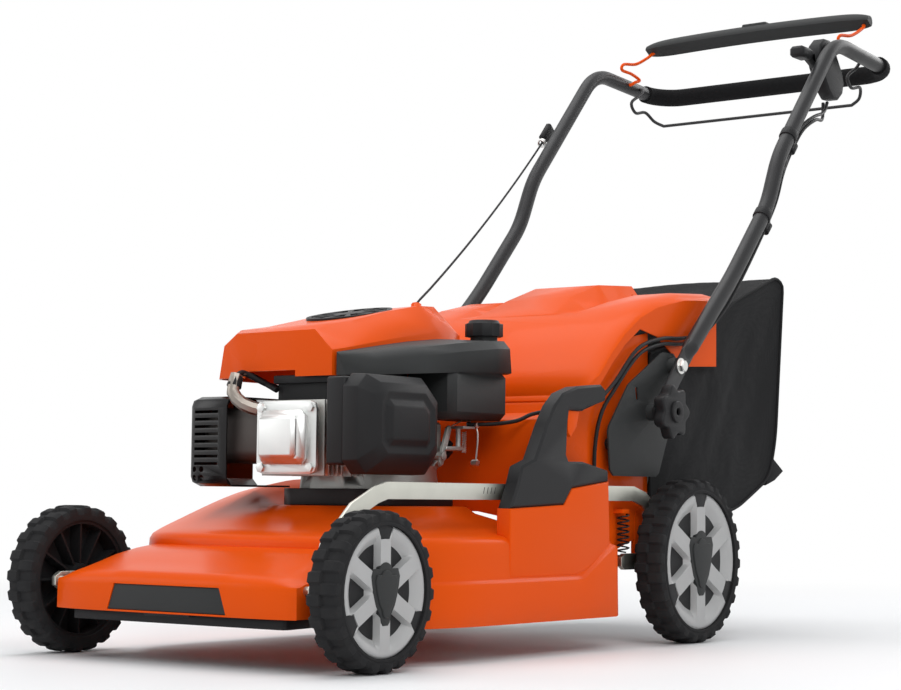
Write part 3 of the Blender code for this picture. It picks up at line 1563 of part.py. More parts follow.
def bevelled_ring(x, low_y, high_y, low_z, high_z, corner):
    return [
        (x, y, z)
        for y, z in (
            (low_y + corner, low_z),
            (high_y - corner, low_z),
            (high_y, low_z + corner),
            (high_y, high_z - corner * 1.4),
            (high_y - corner * 1.6, high_z),
            (low_y + corner, high_z),
            (low_y, high_z - corner),
            (low_y, low_z + corner),
        )
    ]


FILTER_JOINT_X = 0.1190
FILTER_LOW_Y = -0.272
FILTER_HIGH_Y = -0.102
FILTER_LOW_Z = 0.2475
FILTER_HIGH_Z = 0.3825


def make_intake():
    base = block(
        (0.086, FILTER_LOW_Y + 0.004, FILTER_LOW_Z + 0.012),
        (FILTER_JOINT_X - GAP, FILTER_HIGH_Y - 0.004, FILTER_HIGH_Z - 0.004),
        0.003,
    )
    duct = rod((0.054, -0.150, 0.312), (0.090, -0.150, 0.312), 0.014, 12)
    piece("air_filter_base", base, PLASTIC, add=[duct])
    rings = [
        bevelled_ring(FILTER_JOINT_X, FILTER_LOW_Y, FILTER_HIGH_Y, FILTER_LOW_Z, FILTER_HIGH_Z, 0.018),
        bevelled_ring(
            FILTER_JOINT_X + 0.024,
            FILTER_LOW_Y + 0.002,
            FILTER_HIGH_Y - 0.001,
            FILTER_LOW_Z + 0.001,
            FILTER_HIGH_Z - 0.001,
            0.018,
        ),
        bevelled_ring(
            FILTER_JOINT_X + 0.038,
            FILTER_LOW_Y + 0.018,
            FILTER_HIGH_Y - 0.010,
            FILTER_LOW_Z + 0.016,
            FILTER_HIGH_Z - 0.012,
            0.016,
        ),
        bevelled_ring(
            FILTER_JOINT_X + 0.044,
            FILTER_LOW_Y + 0.030,
            FILTER_HIGH_Y - 0.022,
            FILTER_LOW_Z + 0.028,
            FILTER_HIGH_Z - 0.024,
            0.014,
        ),
    ]
    piece("air_filter_cover", object_of(loft(rings)), PLASTIC)

    body = block((0.074, -0.088, 0.272), (0.112, -0.040, 0.324), 0.004)
    bowl = rod((0.093, -0.064, 0.2635), (0.093, -0.064, 0.283), 0.015, 12)
    inlet = rod((0.0655, -0.064, 0.300), (0.080, -0.064, 0.300), 0.012, 8)
    lever = plate([band_with_ends((-0.054, 0.266), (-0.036, 0.315), 0.005, 2)], "X", 0.1175, 0.1213)
    pivot = rod((0.108, -0.051, 0.276), (0.124, -0.051, 0.276), 0.006, 8)
    wire_stop = block((0.110, -0.020, 0.3155), (0.134, 0.008, 0.3190))
    post = rod((0.1195, -0.012, 0.286), (0.1195, -0.012, 0.318), 0.0035, 8)
    foot = block((0.090, -0.046, 0.284), (0.124, -0.006, 0.290), 0.001)
    piece("carburettor", body, CAST, add=[bowl, inlet, pivot, lever, foot, post, wire_stop])


def make_exhaust():
    body = block((-0.186, -0.222, 0.2635), (-0.0585, -0.110, 0.342), 0.018, 2)
    port = rod((-0.070, -0.200, 0.300), (-0.056 - GAP, -0.200, 0.300), 0.014, 12)
    piece("muffler", body, BRIGHT, add=[port])
    low, high = Vector((-0.195, -0.238, 0.2300)), Vector((-0.120, -0.100, 0.3575))
    outer = block(low, high + Vector((0.03, 0.03, 0)), 0.014, 2)
    wall = Vector((SHEET, SHEET, SHEET))
    inner = block(low + wall, high + Vector((0.06, 0.06, -SHEET)), 0.010, 1)
    open_side = block((high.x, -0.30, 0.20), (0, 0, 0.40))
    open_back = block((-0.25, high.y, 0.20), (0, 0, 0.40))
    slots = []
    for k in range(8):
        z = 0.2600 + 0.0105 * k
        slots.append(block((-0.1815, -0.245, z), (-0.1365, -0.205, z + 0.0042)))
    post = block((-0.160, -0.180, 0.342 + GAP), (-0.142, -0.150, high.z - 0.001))
    guard = piece("muffler_guard", outer, PLASTIC, cut=[inner, open_side, open_back] + slots)
    join_tool(guard, post, "UNION")

    boot = tube(
        smooth(
            [
                (-0.066, -0.233, 0.338),
                (-0.082, -0.246, 0.345),
                (-0.098, -0.250, 0.362),
                (-0.100, -0.240, 0.386),
            ],
            2,
        ),
        0.0095,
        2,
    )
    lead = tube(
        smooth(
            [
                (-0.100, -0.241, 0.384),
                (-0.098, -0.222, 0.3885),
                (-0.080, -0.196, 0.374),
                (-0.060, -0.170, 0.366),
            ],
            2,
        ),
        0.0035,
        1,
    )
    plug = rod((-0.056 - GAP, -0.232, 0.336), (-0.070, -0.232, 0.336), 0.006, 8)
    piece("spark_plug_boot", boot, BRIGHT, add=[lead, plug])


def make_dipstick():
    seat = Vector(FILLER_MOUTH)
    along = (seat - Vector(FILLER_FOOT)).normalized()
    start = seat + along * GAP
    cap = rod(start, start + along * 0.012, 0.013, 12)
    grip = rod(start + along * 0.010, start + along * 0.022, 0.006, 8)
    piece("oil_dipstick", cap, PLASTIC, add=[grip], pivot=seat)


# Handle


def handle_line(side):
    """The middle line of one leg, from the strap at its foot up to the start of the crossbar."""
    direction = (Vector(KINK_1) - Vector((BOLT_Y, BOLT_Z))).normalized()
    start = Vector((BOLT_Y, BOLT_Z)) + direction * 0.030
    points = [(start.x, start.y)]
    for before, corner, after in (
        ((start.x, start.y), KINK_1, KINK_2),
        (KINK_1, KINK_2, KINK_3),
        (KINK_2, KINK_3, BEND),
    ):
        points += rounded_corner(before, corner, after, KINK_CUT, 1)
    points += rounded_corner(KINK_3, BEND, (CROSSBAR_Y, CROSSBAR_Z), BEND_CUT, 4)
    return [(side * HANDLE_X, y, z) for y, z in points]


def rounded_corner(before, corner, after, cut, steps):
    before, corner, after = Vector(before), Vector(corner), Vector(after)
    start = corner + (before - corner).normalized() * cut
    end = corner + (after - corner).normalized() * cut
    points = []
    for k in range(steps + 1):
        t = k / steps
        points.append(tuple(start * (1 - t) ** 2 + corner * 2 * t * (1 - t) + end * t * t))
    return points


def crossbar_corner(side):
    """The quarter turn from a leg into the crossbar."""
    centre_x = HANDLE_X - CORNER_RADIUS
    centre_y = CROSSBAR_Y - CORNER_RADIUS
    slope = (CROSSBAR_Z - BEND[1]) / (CROSSBAR_Y - BEND[0])
    points = []
    for k in range(5):
        angle = math.pi / 2 * k / 4
        y = centre_y + CORNER_RADIUS * math.sin(angle)
        x = centre_x + CORNER_RADIUS * math.cos(angle)
        points.append((side * x, y, CROSSBAR_Z + slope * (y - CROSSBAR_Y)))
    return points


def make_handlebar():
    line = handle_line(1) + crossbar_corner(1)
    line += [(-x, y, z) for x, y, z in reversed(handle_line(1) + crossbar_corner(1))]
    bar = tube(line, TUBE_RADIUS, 3)
    straps = []
    cuts = []
    direction = (Vector(KINK_1) - Vector((BOLT_Y, BOLT_Z))).normalized()
    top = Vector((BOLT_Y, BOLT_Z)) + direction * 0.050
    strap_line = [tuple(top), (KNOB_Y, KNOB_Z)]
    outline = band_with_ends(strap_line[1], strap_line[0], STRAP_HALF_WIDTH)
    across = Vector((-direction.y, direction.x))
    exit_way = Vector((KNOB_Y, KNOB_Z)) + across * 0.040 + direction * 0.0044
    for side in (1, -1):
        low, high = sorted((side * STRAP_INNER_X, side * STRAP_OUTER_X))
        straps.append(plate([outline], "X", low, high))
        cuts.append(
            plate(
                [band_with_ends((KNOB_Y, KNOB_Z), tuple(exit_way), BOLT_RADIUS + RUNNING + 0.0003, 3)],
                "X",
                low - 0.01,
                high + 0.01,
            )
        )
        cuts.append(
            rod((low - 0.02, BOLT_Y, BOLT_Z), (high + 0.02, BOLT_Y, BOLT_Z), BOLT_RADIUS + RUNNING, 10)
        )
    piece("handlebar", bar, TUBE_PAINT, add=straps, cut=cuts, pivot=(0, BOLT_Y, BOLT_Z))

    near_end, far_end = crossbar_corner(1), crossbar_corner(-1)[::-1]
    path = near_end + far_end
    sleeve = tube(path, GRIP_RADIUS, 3)
    bore = tube([line[len(handle_line(1)) - 1]] + path + [line[-len(handle_line(1))]], TUBE_RADIUS + GAP, 3)
    piece("foam_grip", sleeve, RUBBER, cut=[bore], pivot=(0, BOLT_Y, BOLT_Z))


def make_brackets():
    outline = [
        (0.2120, 0.2520),
        (0.2050, 0.3220),
        (0.2620, 0.3900),
        (0.3600, 0.4440),
        (0.4020, 0.4440),
        (0.4080, 0.4100),
        (0.3850, 0.3300),
        (0.3480, 0.2520),
    ]
    for hand, side in (("left", 1), ("right", -1)):
        sheet = plate([rounded(outline, 0.010, 1)], "X", BRACKET_X, BRACKET_OUTER_X)
        boss_end = STRAP_INNER_X - GAP
        bosses = [
            rod((BRACKET_X + 0.001, y, z), (boss_end, y, z), 0.013, 10)
            for y, z in ((BOLT_Y, BOLT_Z), (KNOB_Y, KNOB_Z))
        ]
        feet = [
            rod((HOUSING_HALF_WIDTH + GAP, y, z), (BRACKET_X + 0.001, y, z), 0.009, 8)
            for y, z in ((0.235, 0.300), (0.310, 0.275))
        ]
        bolt = rod(
            (boss_end - 0.002, BOLT_Y, BOLT_Z),
            (STRAP_OUTER_X + GAP + 0.006, BOLT_Y, BOLT_Z),
            BOLT_RADIUS,
            8,
        )
        head = plate(
            [circle((BOLT_Y, BOLT_Z), 0.0095, 6)], "X", STRAP_OUTER_X + GAP, STRAP_OUTER_X + GAP + 0.007
        )
        stud = rod(
            (boss_end - 0.002, KNOB_Y, KNOB_Z), (KNOB_OUTER_X - 0.004, KNOB_Y, KNOB_Z), BOLT_RADIUS, 10
        )
        slot = plate(
            [rounded([(0.284, 0.366), (0.291, 0.368), (0.287, 0.388), (0.280, 0.386)], 0.002, 1)],
            "X",
            BRACKET_X - 0.010,
            BRACKET_OUTER_X + 0.010,
        )
        shapes = bosses + feet + [bolt, head, stud]
        if side < 0:
            sheet = mirrored(sheet)
            shapes = [mirrored(s) for s in shapes]
            slot = mirrored(slot)
        piece(f"bracket_{hand}", sheet, SOFT_BLACK, add=shapes, cut=[slot])

        lobes = []
        for k in range(28):
            angle = 2 * math.pi * k / 28
            reach = KNOB_RADIUS * (0.90 + 0.10 * math.cos(7 * angle))
            lobes.append((KNOB_Y + reach * math.cos(angle), KNOB_Z + reach * math.sin(angle)))
        grip = plate([lobes], "X", KNOB_INNER_X, KNOB_OUTER_X)
        hub = rod((STRAP_OUTER_X + GAP, KNOB_Y, KNOB_Z), (KNOB_INNER_X + 0.002, KNOB_Y, KNOB_Z), 0.013, 14)
        bore = rod(
            (STRAP_OUTER_X, KNOB_Y, KNOB_Z),
            (KNOB_OUTER_X + 0.010, KNOB_Y, KNOB_Z),
            BOLT_RADIUS + RUNNING,
            14,
        )
        if side < 0:
            grip, hub, bore = mirrored(grip), mirrored(hub), mirrored(bore)
        piece(
            f"knob_{hand}",
            grip,
            PLASTIC,
            add=[hub],
            cut=[bore],
            pivot=(side * KNOB_INNER_X, KNOB_Y, KNOB_Z),
        )


# Controls


def make_bails():
    x = HANDLE_X - TUBE_RADIUS - 0.008
    tip_x = HANDLE_X - TUBE_RADIUS - GAP - 0.0002
    y, z = BRAKE_PIVOT_Y, BRAKE_PIVOT_Z
    half = [
        (tip_x, y, z),
        (x + 0.002, y, z + 0.001),
        (x, y + 0.008, z + 0.006),
        (x, y + 0.024, z + 0.013),
        (x, y - 0.006, z + 0.020),
        (x, y - 0.040, z + 0.022),
        (x, y - 0.034, z + 0.034),
        (x, y + 0.010, z + 0.042),
        (x, y + 0.050, z + 0.060),
        (x - 0.002, BRAKE_GRIP_Y - 0.006, BRAKE_GRIP_Z - 0.006),
        (x - 0.016, BRAKE_GRIP_Y, BRAKE_GRIP_Z + 0.002),
    ]
    half = simplified(smooth(half, 2), 0.0006)
    other = [(-x, y, z) for x, y, z in reversed(half)]
    wire = tube(half + other, BAIL_WIRE_RADIUS, 1)
    piece("brake_bail", wire, ORANGE_PLASTIC, pivot=(0, BRAKE_PIVOT_Y, BRAKE_PIVOT_Z))

    rings = []
    for k in range(9):
        share = -1 + k / 4
        reach = BRAKE_GRIP_HALF * share
        rise = 0.013 * (1 - share**2)
        height = 1.0 - 0.35 * abs(share) ** 8
        middle = Vector((reach, BRAKE_GRIP_Y, BRAKE_GRIP_Z + rise * 0.4))
        ring = []
        for outer in (True, False):
            arc = [math.radians(a) for a in (-30, 15, 60, 105, 150)]
            radius = (0.0175 if outer else 0.0145) * height
            for angle in arc if outer else arc[::-1]:
                ring.append(
                    (
                        middle.x,
                        middle.y + radius * math.cos(angle) - 0.004,
                        middle.z + radius * math.sin(angle) + 0.001,
                    )
                )
        rings.append(ring)
    channel = object_of(loft(rings))
    inner = BAIL_WIRE_RADIUS + GAP + 0.0002
    wire_room = tube(half + other, inner, 1)
    nub = block(
        (-0.026, BRAKE_GRIP_Y - 0.010, BRAKE_GRIP_Z + 0.018),
        (0.026, BRAKE_GRIP_Y + 0.008, BRAKE_GRIP_Z + 0.028),
        0.003,
    )
    ribs = []
    for share in (-0.6, 0.0, 0.6):
        rib_x = BRAKE_GRIP_HALF * share
        lift = 0.013 * (1 - share**2) * 0.4
        ribs.append(
            block(
                (rib_x - 0.004, BRAKE_GRIP_Y - 0.009, BRAKE_GRIP_Z - 0.003),
                (rib_x + 0.004, BRAKE_GRIP_Y + 0.0072, BRAKE_GRIP_Z + lift + 0.0122),
            )
        )
    piece(
        "brake_bail_grip",
        channel,
        SOFT_BLACK,
        add=[nub] + ribs,
        cut=[wire_room],
        pivot=(0, BRAKE_PIVOT_Y, BRAKE_PIVOT_Z),
    )

    y, z = DRIVE_PIVOT_Y, DRIVE_PIVOT_Z
    half = [
        (tip_x, y, z),
        (tip_x - 0.003, y, z),
        (x + 0.002, y - 0.001, z - 0.002),
        (x, y - 0.010, z - 0.012),
        (x, y - 0.045, z - 0.033),
        (x, y - 0.030, z - 0.051),
        (x, y + 0.006, z - 0.045),
        (x - 0.010, DRIVE_RUN_Y - 0.006, DRIVE_RUN_Z + 0.010),
        (x - 0.028, DRIVE_RUN_Y, DRIVE_RUN_Z),
    ]
    half = simplified(smooth(half, 2), 0.0006)
    other = [(-x, y, z) for x, y, z in reversed(half)]
    wire = tube(half + other, BAIL_WIRE_RADIUS, 1)
    piece("drive_bail", wire, TUBE_PAINT, pivot=(0, DRIVE_PIVOT_Y, DRIVE_PIVOT_Z))


def make_controls():
    inner_x = HANDLE_X - TUBE_RADIUS - GAP
    low_x = inner_x - 0.026
    y, z = LEVER_Y, LEVER_Z
    body = plate(
        [band_with_ends((y, z + 0.004), (y - 0.030, z + 0.042), 0.034, 5)], "X", low_x, inner_x, bevel=0.003
    )
    lever_room = plate(
        [band_with_ends((y, z), (y - 0.110, z + 0.045), 0.017, 4)], "X", low_x + 0.008, low_x + 0.016
    )
    piece("control_housing", body, PLASTIC, cut=[lever_room])
    stem = plate(
        [band_with_ends((y, z), (y - 0.092, z + 0.036), 0.006, 3)], "X", low_x + 0.0085, low_x + 0.0155
    )
    paddle = block((low_x - 0.002, y - 0.128, z + 0.028), (low_x + 0.026, y - 0.086, z + 0.048), 0.005)
    boss = rod((low_x + 0.0085, y, z), (low_x + 0.0155, y, z), 0.014, 14)
    piece("speed_lever", stem, PLASTIC, add=[paddle, boss], pivot=(low_x, y, z))


def along_leg(distance, offset, x):
    """A point beside the near leg: so far up from the bolt and so far behind the tube."""
    legs = [Vector((BOLT_Y, BOLT_Z)), Vector(KINK_1), Vector(KINK_2), Vector(KINK_3), Vector(BEND)]
    for a, b in zip(legs, legs[1:]):
        span = (b - a).length
        if distance <= span or b == legs[-1]:
            along = (b - a).normalized()
            place = a + along * distance + Vector((along.y, -along.x)) * offset
            return (x, place.x, place.y)
        distance -= span
    return None


def make_cables():
    offset = TUBE_RADIUS + CABLE_RADIUS + 0.0015
    near = HANDLE_X - 0.004
    top = (HANDLE_X - TUBE_RADIUS - 0.013, LEVER_Y - 0.010, LEVER_Z - 0.0315 - CABLE_RADIUS)
    slot_x = (FLAP_HALF_WIDTH + BRACKET_X) / 2
    beside = [
        (0.66, 0.026),
        (0.615, 0.008),
        (0.57, 0.003),
        (0.52, 0.0048),
        (0.48, 0.0048),
        (0.42, 0.002),
        (0.32, 0.001),
        (0.22, 0.0015),
    ]

    engine = [top, (top[0] + 0.004, top[1] - 0.023, top[2] - 0.022)]
    engine += [along_leg(d, offset + more, near + 0.001) for d, more in beside]
    engine += [
        along_leg(0.16, offset + 0.004, near - 0.003),
        (0.2330, 0.4650, 0.4790),
        (slot_x, 0.4250, 0.4700),
        (slot_x, 0.3700, 0.4660),
        (slot_x, 0.3000, 0.4460),
        (slot_x, 0.2350, 0.3920),
        (slot_x, 0.1900, 0.3640),
        (slot_x, 0.1620, 0.3540),
        (0.2250, 0.1430, 0.3490),
        (0.2140, 0.1260, 0.3480),
        (0.1990, 0.1080, 0.3450),
        (0.1800, 0.0850, 0.3390),
        (0.1660, 0.0660, 0.3290),
        (0.1480, 0.0320, 0.3235),
        (0.1240, 0.0020, 0.3226),
    ]
    piece("engine_cable", tube(simplified(smooth(engine, 3), 0.0010), CABLE_RADIUS, 1), PLASTIC)

    drive = [(top[0] - 0.008, top[1], top[2]), (top[0] - 0.003, top[1] - 0.014, top[2] - 0.032)]
    drive += [along_leg(d, offset + 0.0075 + more, near + 0.001) for d, more in beside]
    drive += [
        along_leg(0.16, offset + 0.0115, near - 0.003),
        (0.2330, 0.4680, 0.4700),
        (slot_x, 0.4250, 0.4610),
        (slot_x, 0.3680, 0.4570),
        (slot_x, 0.3020, 0.4370),
        (slot_x, 0.2350, 0.3820),
        (slot_x - 0.003, 0.2000, 0.3400),
        (0.2205, 0.1900, 0.2800),
        (0.2205, 0.1960, 0.2000),
        (0.2205, 0.2110, 0.1420),
        (0.2120, 0.2200, 0.1130),
        (0.1850, 0.2360, 0.1040),
        (0.1700, 0.2600, 0.1100),
        (0.1600, 0.2620, 0.1130),
        (GEARBOX_X + 0.0250, 0.2620, 0.1130),
        (GEARBOX_X + 0.0224, 0.2620, 0.1130),
    ]
    piece("drive_cable", tube(simplified(smooth(drive, 3), 0.0010), CABLE_RADIUS, 1), PLASTIC)


GUIDE_BESIDE_HANDLE = 0.022
GUIDE_PLACE = (-(HANDLE_X + GUIDE_BESIDE_HANDLE), 0.7715, 0.8735)


def make_starter():
    guide = Vector(GUIDE_PLACE)
    run = Vector(EYELET_MOUTH) - Vector(EYELET_FOOT)
    exit_point = Vector(EYELET_MOUTH) + run * 0.1
    pull = (guide - exit_point).normalized()
    leg = Vector((0, *(Vector(BEND) - Vector(KINK_3)).normalized()))
    to_axis = Vector((-HANDLE_X, *KINK_3)) - guide
    to_axis -= leg * to_axis.dot(leg)
    towards = (to_axis - pull * to_axis.dot(pull)).normalized()
    sideways = pull.cross(towards)
    line = []
    for k in range(19):
        angle = 2 * math.pi * (k - 18) / 8
        ring = towards * math.cos(angle) + sideways * math.sin(angle)
        line.append(tuple(guide + ring * GUIDE_RADIUS + pull * (0.0105 * k / 18)))
    foot = guide + pull * 0.0105
    away = foot - Vector((-HANDLE_X, *KINK_3))
    away -= leg * away.dot(leg)
    aim = towards - leg * towards.dot(leg)
    stand_off = TUBE_RADIUS + GAP + 0.0005
    half_b = away.dot(aim)
    reach = (-half_b - math.sqrt(half_b**2 - aim.dot(aim) * (away.dot(away) - stand_off**2))) / aim.dot(aim)
    line.append(tuple(foot + towards * reach))
    piece("rope_guide", tube(line, 0.0015, 1), BRIGHT)

    stop = guide + pull * 0.018
    stem = rod(stop - pull * 0.0045, stop + pull * 0.012, 0.0036, 10)
    handle = block((-0.0065, -0.013, -0.006), (0.0065, 0.013, 0.036), 0.004)
    across = leg.cross(Vector((1, 0, 0)))
    lean = Matrix((Vector((1, 0, 0)), across, leg)).transposed().to_4x4()
    handle = moved(handle, Matrix.Translation(stop + pull * 0.010 + Vector((-0.001, 0, 0))) @ lean)
    piece("starter_grip", handle, PLASTIC, add=[stem], pivot=tuple(stop))

    start = exit_point
    end = stop - pull * (0.0045 + GAP)
    sag = Vector((0, 0, -0.012))
    middle = (start + end) / 2 + sag
    before = start * 0.75 + end * 0.25 + sag * 0.75
    after = start * 0.25 + end * 0.75 + sag * 0.75
    line = [tuple(Vector(EYELET_FOOT) + run * 0.3)]
    line += simplified(smooth([start, before, middle, after, end], 4), 0.0003)
    piece("starter_rope", tube(line, ROPE_RADIUS, 1), PLASTIC)


make_wheels()
make_axles()
spring_top_z = make_lift_spring()
make_deck()
make_housing(spring_top_z)
make_flap()
make_bag()
make_carry_handle()
make_drive()
make_engine_block()
make_covers()
make_tank()
make_intake()
make_exhaust()
make_dipstick()
make_handlebar()
make_brackets()
make_bails()
make_controls()
make_cables()
make_starter()

for obj in list(PARTS.objects) + list(TOOLS.objects):
    obj.location.y += ORIGIN_SHIFT_Y
    if obj.name in PARTS.objects:
        obj.data.shade_smooth()
        obj.data.set_sharp_from_angle(angle=math.radians(35))
bpy.context.view_layer.update()
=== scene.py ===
"""Self-propelled lawn mower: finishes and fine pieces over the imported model, in metres."""

import json
import math

import bmesh
import bpy
from bpy.props import FloatProperty, FloatVectorProperty, IntProperty, PointerProperty
from mathutils import Matrix, Vector, noise


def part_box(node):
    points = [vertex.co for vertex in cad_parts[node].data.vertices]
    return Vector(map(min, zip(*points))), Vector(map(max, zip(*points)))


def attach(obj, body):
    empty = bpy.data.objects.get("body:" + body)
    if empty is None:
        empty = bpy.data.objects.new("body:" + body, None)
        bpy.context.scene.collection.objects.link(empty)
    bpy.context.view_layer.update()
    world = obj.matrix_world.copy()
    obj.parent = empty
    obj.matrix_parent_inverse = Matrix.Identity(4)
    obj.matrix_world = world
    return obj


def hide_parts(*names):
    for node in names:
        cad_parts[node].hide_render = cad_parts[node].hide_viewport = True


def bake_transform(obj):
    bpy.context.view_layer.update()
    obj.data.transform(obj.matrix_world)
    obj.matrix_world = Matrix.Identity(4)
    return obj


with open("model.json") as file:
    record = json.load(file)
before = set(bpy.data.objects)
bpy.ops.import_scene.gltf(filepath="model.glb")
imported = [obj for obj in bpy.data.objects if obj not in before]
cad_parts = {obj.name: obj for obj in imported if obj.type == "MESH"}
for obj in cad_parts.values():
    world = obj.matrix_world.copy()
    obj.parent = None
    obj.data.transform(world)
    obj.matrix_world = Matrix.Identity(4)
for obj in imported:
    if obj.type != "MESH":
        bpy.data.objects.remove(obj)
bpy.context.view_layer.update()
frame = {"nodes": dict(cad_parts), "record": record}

bl_info = {
    "name": "Lawn Mower Dressing",
    "version": (1, 0, 0),
    "blender": (4, 5, 0),
    "location": "View3D > Sidebar > Mower",
    "description": "Finishes, wheels, shells, bag and stage for a walk-behind lawn mower",
    "category": "Object",
}

# The fine pieces are measured from the point midway between the axles, as the model is.
AXLE_MIDDLE_Y = -0.34365
FRONT_AXLE_Y = -0.3885
REAR_AXLE_Y = 0.3885
FRONT_RADIUS = 0.101
REAR_RADIUS = 0.1245
FRONT_TRIM_RADIUS = 0.0815
REAR_TRIM_RADIUS = 0.1035
WHEEL_MIDDLE_X = 0.2655
WHEEL_HALF_WIDTH = 0.0245
TRIM_FACE_X = WHEEL_HALF_WIDTH - 0.0025
LUG_FLARE = 0.0012
# How far each ring of a tyre's blocks lies in from the shoulder, and below the foot of the blocks.
LUG_RINGS = ((0.0001, 0.0080), (0.0012, 0.0036), (0.0045, 0.0012), (0.0100, 0.0))
LUG_GAP = 0.0012
WEB_RIBS = 12
WEB_TABS = 3

BLADE_Y = -0.065
DECK_HALF_WIDTH = 0.268
DECK_FRONT_REACH = 0.270
DECK_REAR_REACH = 0.260
SKIRT_BOTTOM_Z = 0.048
LEDGE_Z = 0.104
LEDGE_STEP = 0.0062
WALL_TOP_Z = 0.157
PLATEAU_Z = 0.205
PLATEAU_RADIUS = 0.138
PLATEAU_INSET = 0.040
SPINDLE_HOLE = 0.030
VOLUTE_RISE = 0.066
SHEET = 0.0025

BUMPER_FRONT_Y = -0.478
BUMPER_HALF_WIDTH = 0.210
BUMPER_BOTTOM_Z = 0.066
PANEL_BOTTOM_HALF = 0.104
PANEL_TOP_HALF = 0.092
PANEL_TOP_Z = 0.1015
PANEL_BOTTOM_Z = 0.0690

BAG_HALF_WIDTH = 0.2175
BAG_FRONT_Y = 0.3503
BAG_STAND_OUT = 0.002
CLOTH = 0.0014
THREAD = 0.0013

HANDLE_X = 0.250
TUBE_RADIUS = 0.013
BOLT = (0.3853, 0.4237)
KNOB = (0.322, 0.350)
KINKS = ((0.553, 0.578), (0.672, 0.706), (0.713, 0.795))
BEND = (0.921, 1.029)
CROSSBAR = (1.160, 1.015)
KINK_CUT = 0.030
BEND_CUT = 0.050
CORNER_RADIUS = 0.055
GRIP_RADIUS = 0.0168
STRAP_HALF_THICKNESS = 0.0025
STRAP_HALF_WIDTH = 0.014
STRAP_REACH = 0.046
LEG_START = 0.047
KNOB_RADIUS = 0.042
KNOB_INNER_X = 0.2645
KNOB_OUTER_X = 0.2865
KNOB_LOBES = 7
BAIL_RADIUS = 0.003
BAIL_X = HANDLE_X - TUBE_RADIUS - 0.008
BAIL_TIP_X = HANDLE_X - TUBE_RADIUS - 0.0005
BRAKE_PIVOT = (1.025, 1.022)
BRAKE_GRIP = (1.100, 1.100)
BRAKE_GRIP_HALF = 0.238
BRAKE_GRIP_RADIUS = 0.0172
BRAKE_GRIP_CROWN = 0.013
DRIVE_PIVOT = (1.065, 1.019)
DRIVE_RUN = (1.095, 0.948)
LEVER = (0.958, 0.962)
CABLE_RADIUS = 0.003
CABLE_SLOT_X = 0.2273
ROPE_RADIUS = 0.0018
EYELET_FOOT = (0.0, 0.040, 0.488)
EYELET_MOUTH = (-0.004, 0.047, 0.5035)
GUIDE = (-0.272, 0.7715, 0.8735)
GUIDE_RADIUS = 0.0065
GUIDE_LENGTH = 0.0105
GUIDE_TURNS = 2.25
GUIDE_WIRE = 0.0016
ROPE_SAG = 0.012
# The cables pass the handle's fold between these points.
FOLD_START = (0.230, 0.425, 0.470)
FOLD_END = (0.230, 0.466, 0.479)
GEARBOX_X = 0.130

CAMERA_AZIMUTH = 36.5508
CAMERA_ELEVATION = -4.1266
CAMERA_ROLL = 0.5866
CAMERA_DISTANCE = 3.0836
CAMERA_AIM = (0.0764, -0.0088)
CAMERA_TARGET_Z = 0.45
FOCAL_PIXELS = 2097.25
PHOTO_WIDTH = 901
SENSOR = 36.0
FLOOR_HALF = 14

# The operator's left is the near side of the photograph, towards +X.
HANDS = (("left", 1), ("right", -1))
SHARP_ANGLE = 38
WHITE = (1.0, 1.0, 1.0, 1.0)

BODIES = frame["record"]["behaviour"]["bodies"]
BODY_OF = {node: body for body, nodes in BODIES.items() for node in nodes}


class MowerSizes(bpy.types.PropertyGroup):
    front_lugs: IntProperty(
        name="Front lugs", description="Tread blocks in one row of a front tyre", default=22
    )
    rear_lugs: IntProperty(
        name="Rear lugs", description="Tread blocks in one row of a rear tyre", default=26
    )
    lug_height: FloatProperty(
        name="Lug height", description="Depth of the tread", default=0.0040,
        subtype="DISTANCE", unit="LENGTH",
    )
    piping: FloatProperty(
        name="Piping", description="Radius of the bag's seam piping", default=0.0026,
        subtype="DISTANCE", unit="LENGTH",
    )
    bag_slack: FloatProperty(
        name="Bag slack", description="How far the bag's panels hang in", default=0.0065,
        subtype="DISTANCE", unit="LENGTH",
    )
    edge_round: FloatProperty(
        name="Edge round", description="Rounding of moulded and folded edges", default=0.0008,
        subtype="DISTANCE", unit="LENGTH",
    )


class MowerColours(bpy.types.PropertyGroup):
    paint: FloatVectorProperty(
        name="Paint", description="Deck, housing, flap and engine cover", subtype="COLOR", size=3,
        default=(0.88, 0.098, 0.004), min=0, max=1,
    )
    trim: FloatVectorProperty(
        name="Wheel trim", description="Silver grey wheel faces", subtype="COLOR", size=3,
        default=(0.47, 0.47, 0.465), min=0, max=1,
    )
    moulding: FloatVectorProperty(
        name="Mouldings", description="Dark grey plastic parts", subtype="COLOR", size=3,
        default=(0.034, 0.0355, 0.0355), min=0, max=1,
    )
    black: FloatVectorProperty(
        name="Black parts", description="Black plastic, rubber and fabric", subtype="COLOR", size=3,
        default=(0.018, 0.018, 0.019), min=0, max=1,
    )


# Shaders


class Term:
    """A socket of a node tree that takes part in Python expressions."""

    def __init__(self, nodes, socket):
        self.nodes = nodes
        self.socket = socket

    def __add__(self, other):
        return self.nodes.math("ADD", self, other)

    def __sub__(self, other):
        return self.nodes.math("SUBTRACT", self, other)

    def __rsub__(self, other):
        return self.nodes.math("SUBTRACT", other, self)

    def __mul__(self, other):
        return self.nodes.math("MULTIPLY", self, other)

    def __pow__(self, other):
        return self.nodes.math("POWER", self, other)

    __radd__ = __add__
    __rmul__ = __mul__


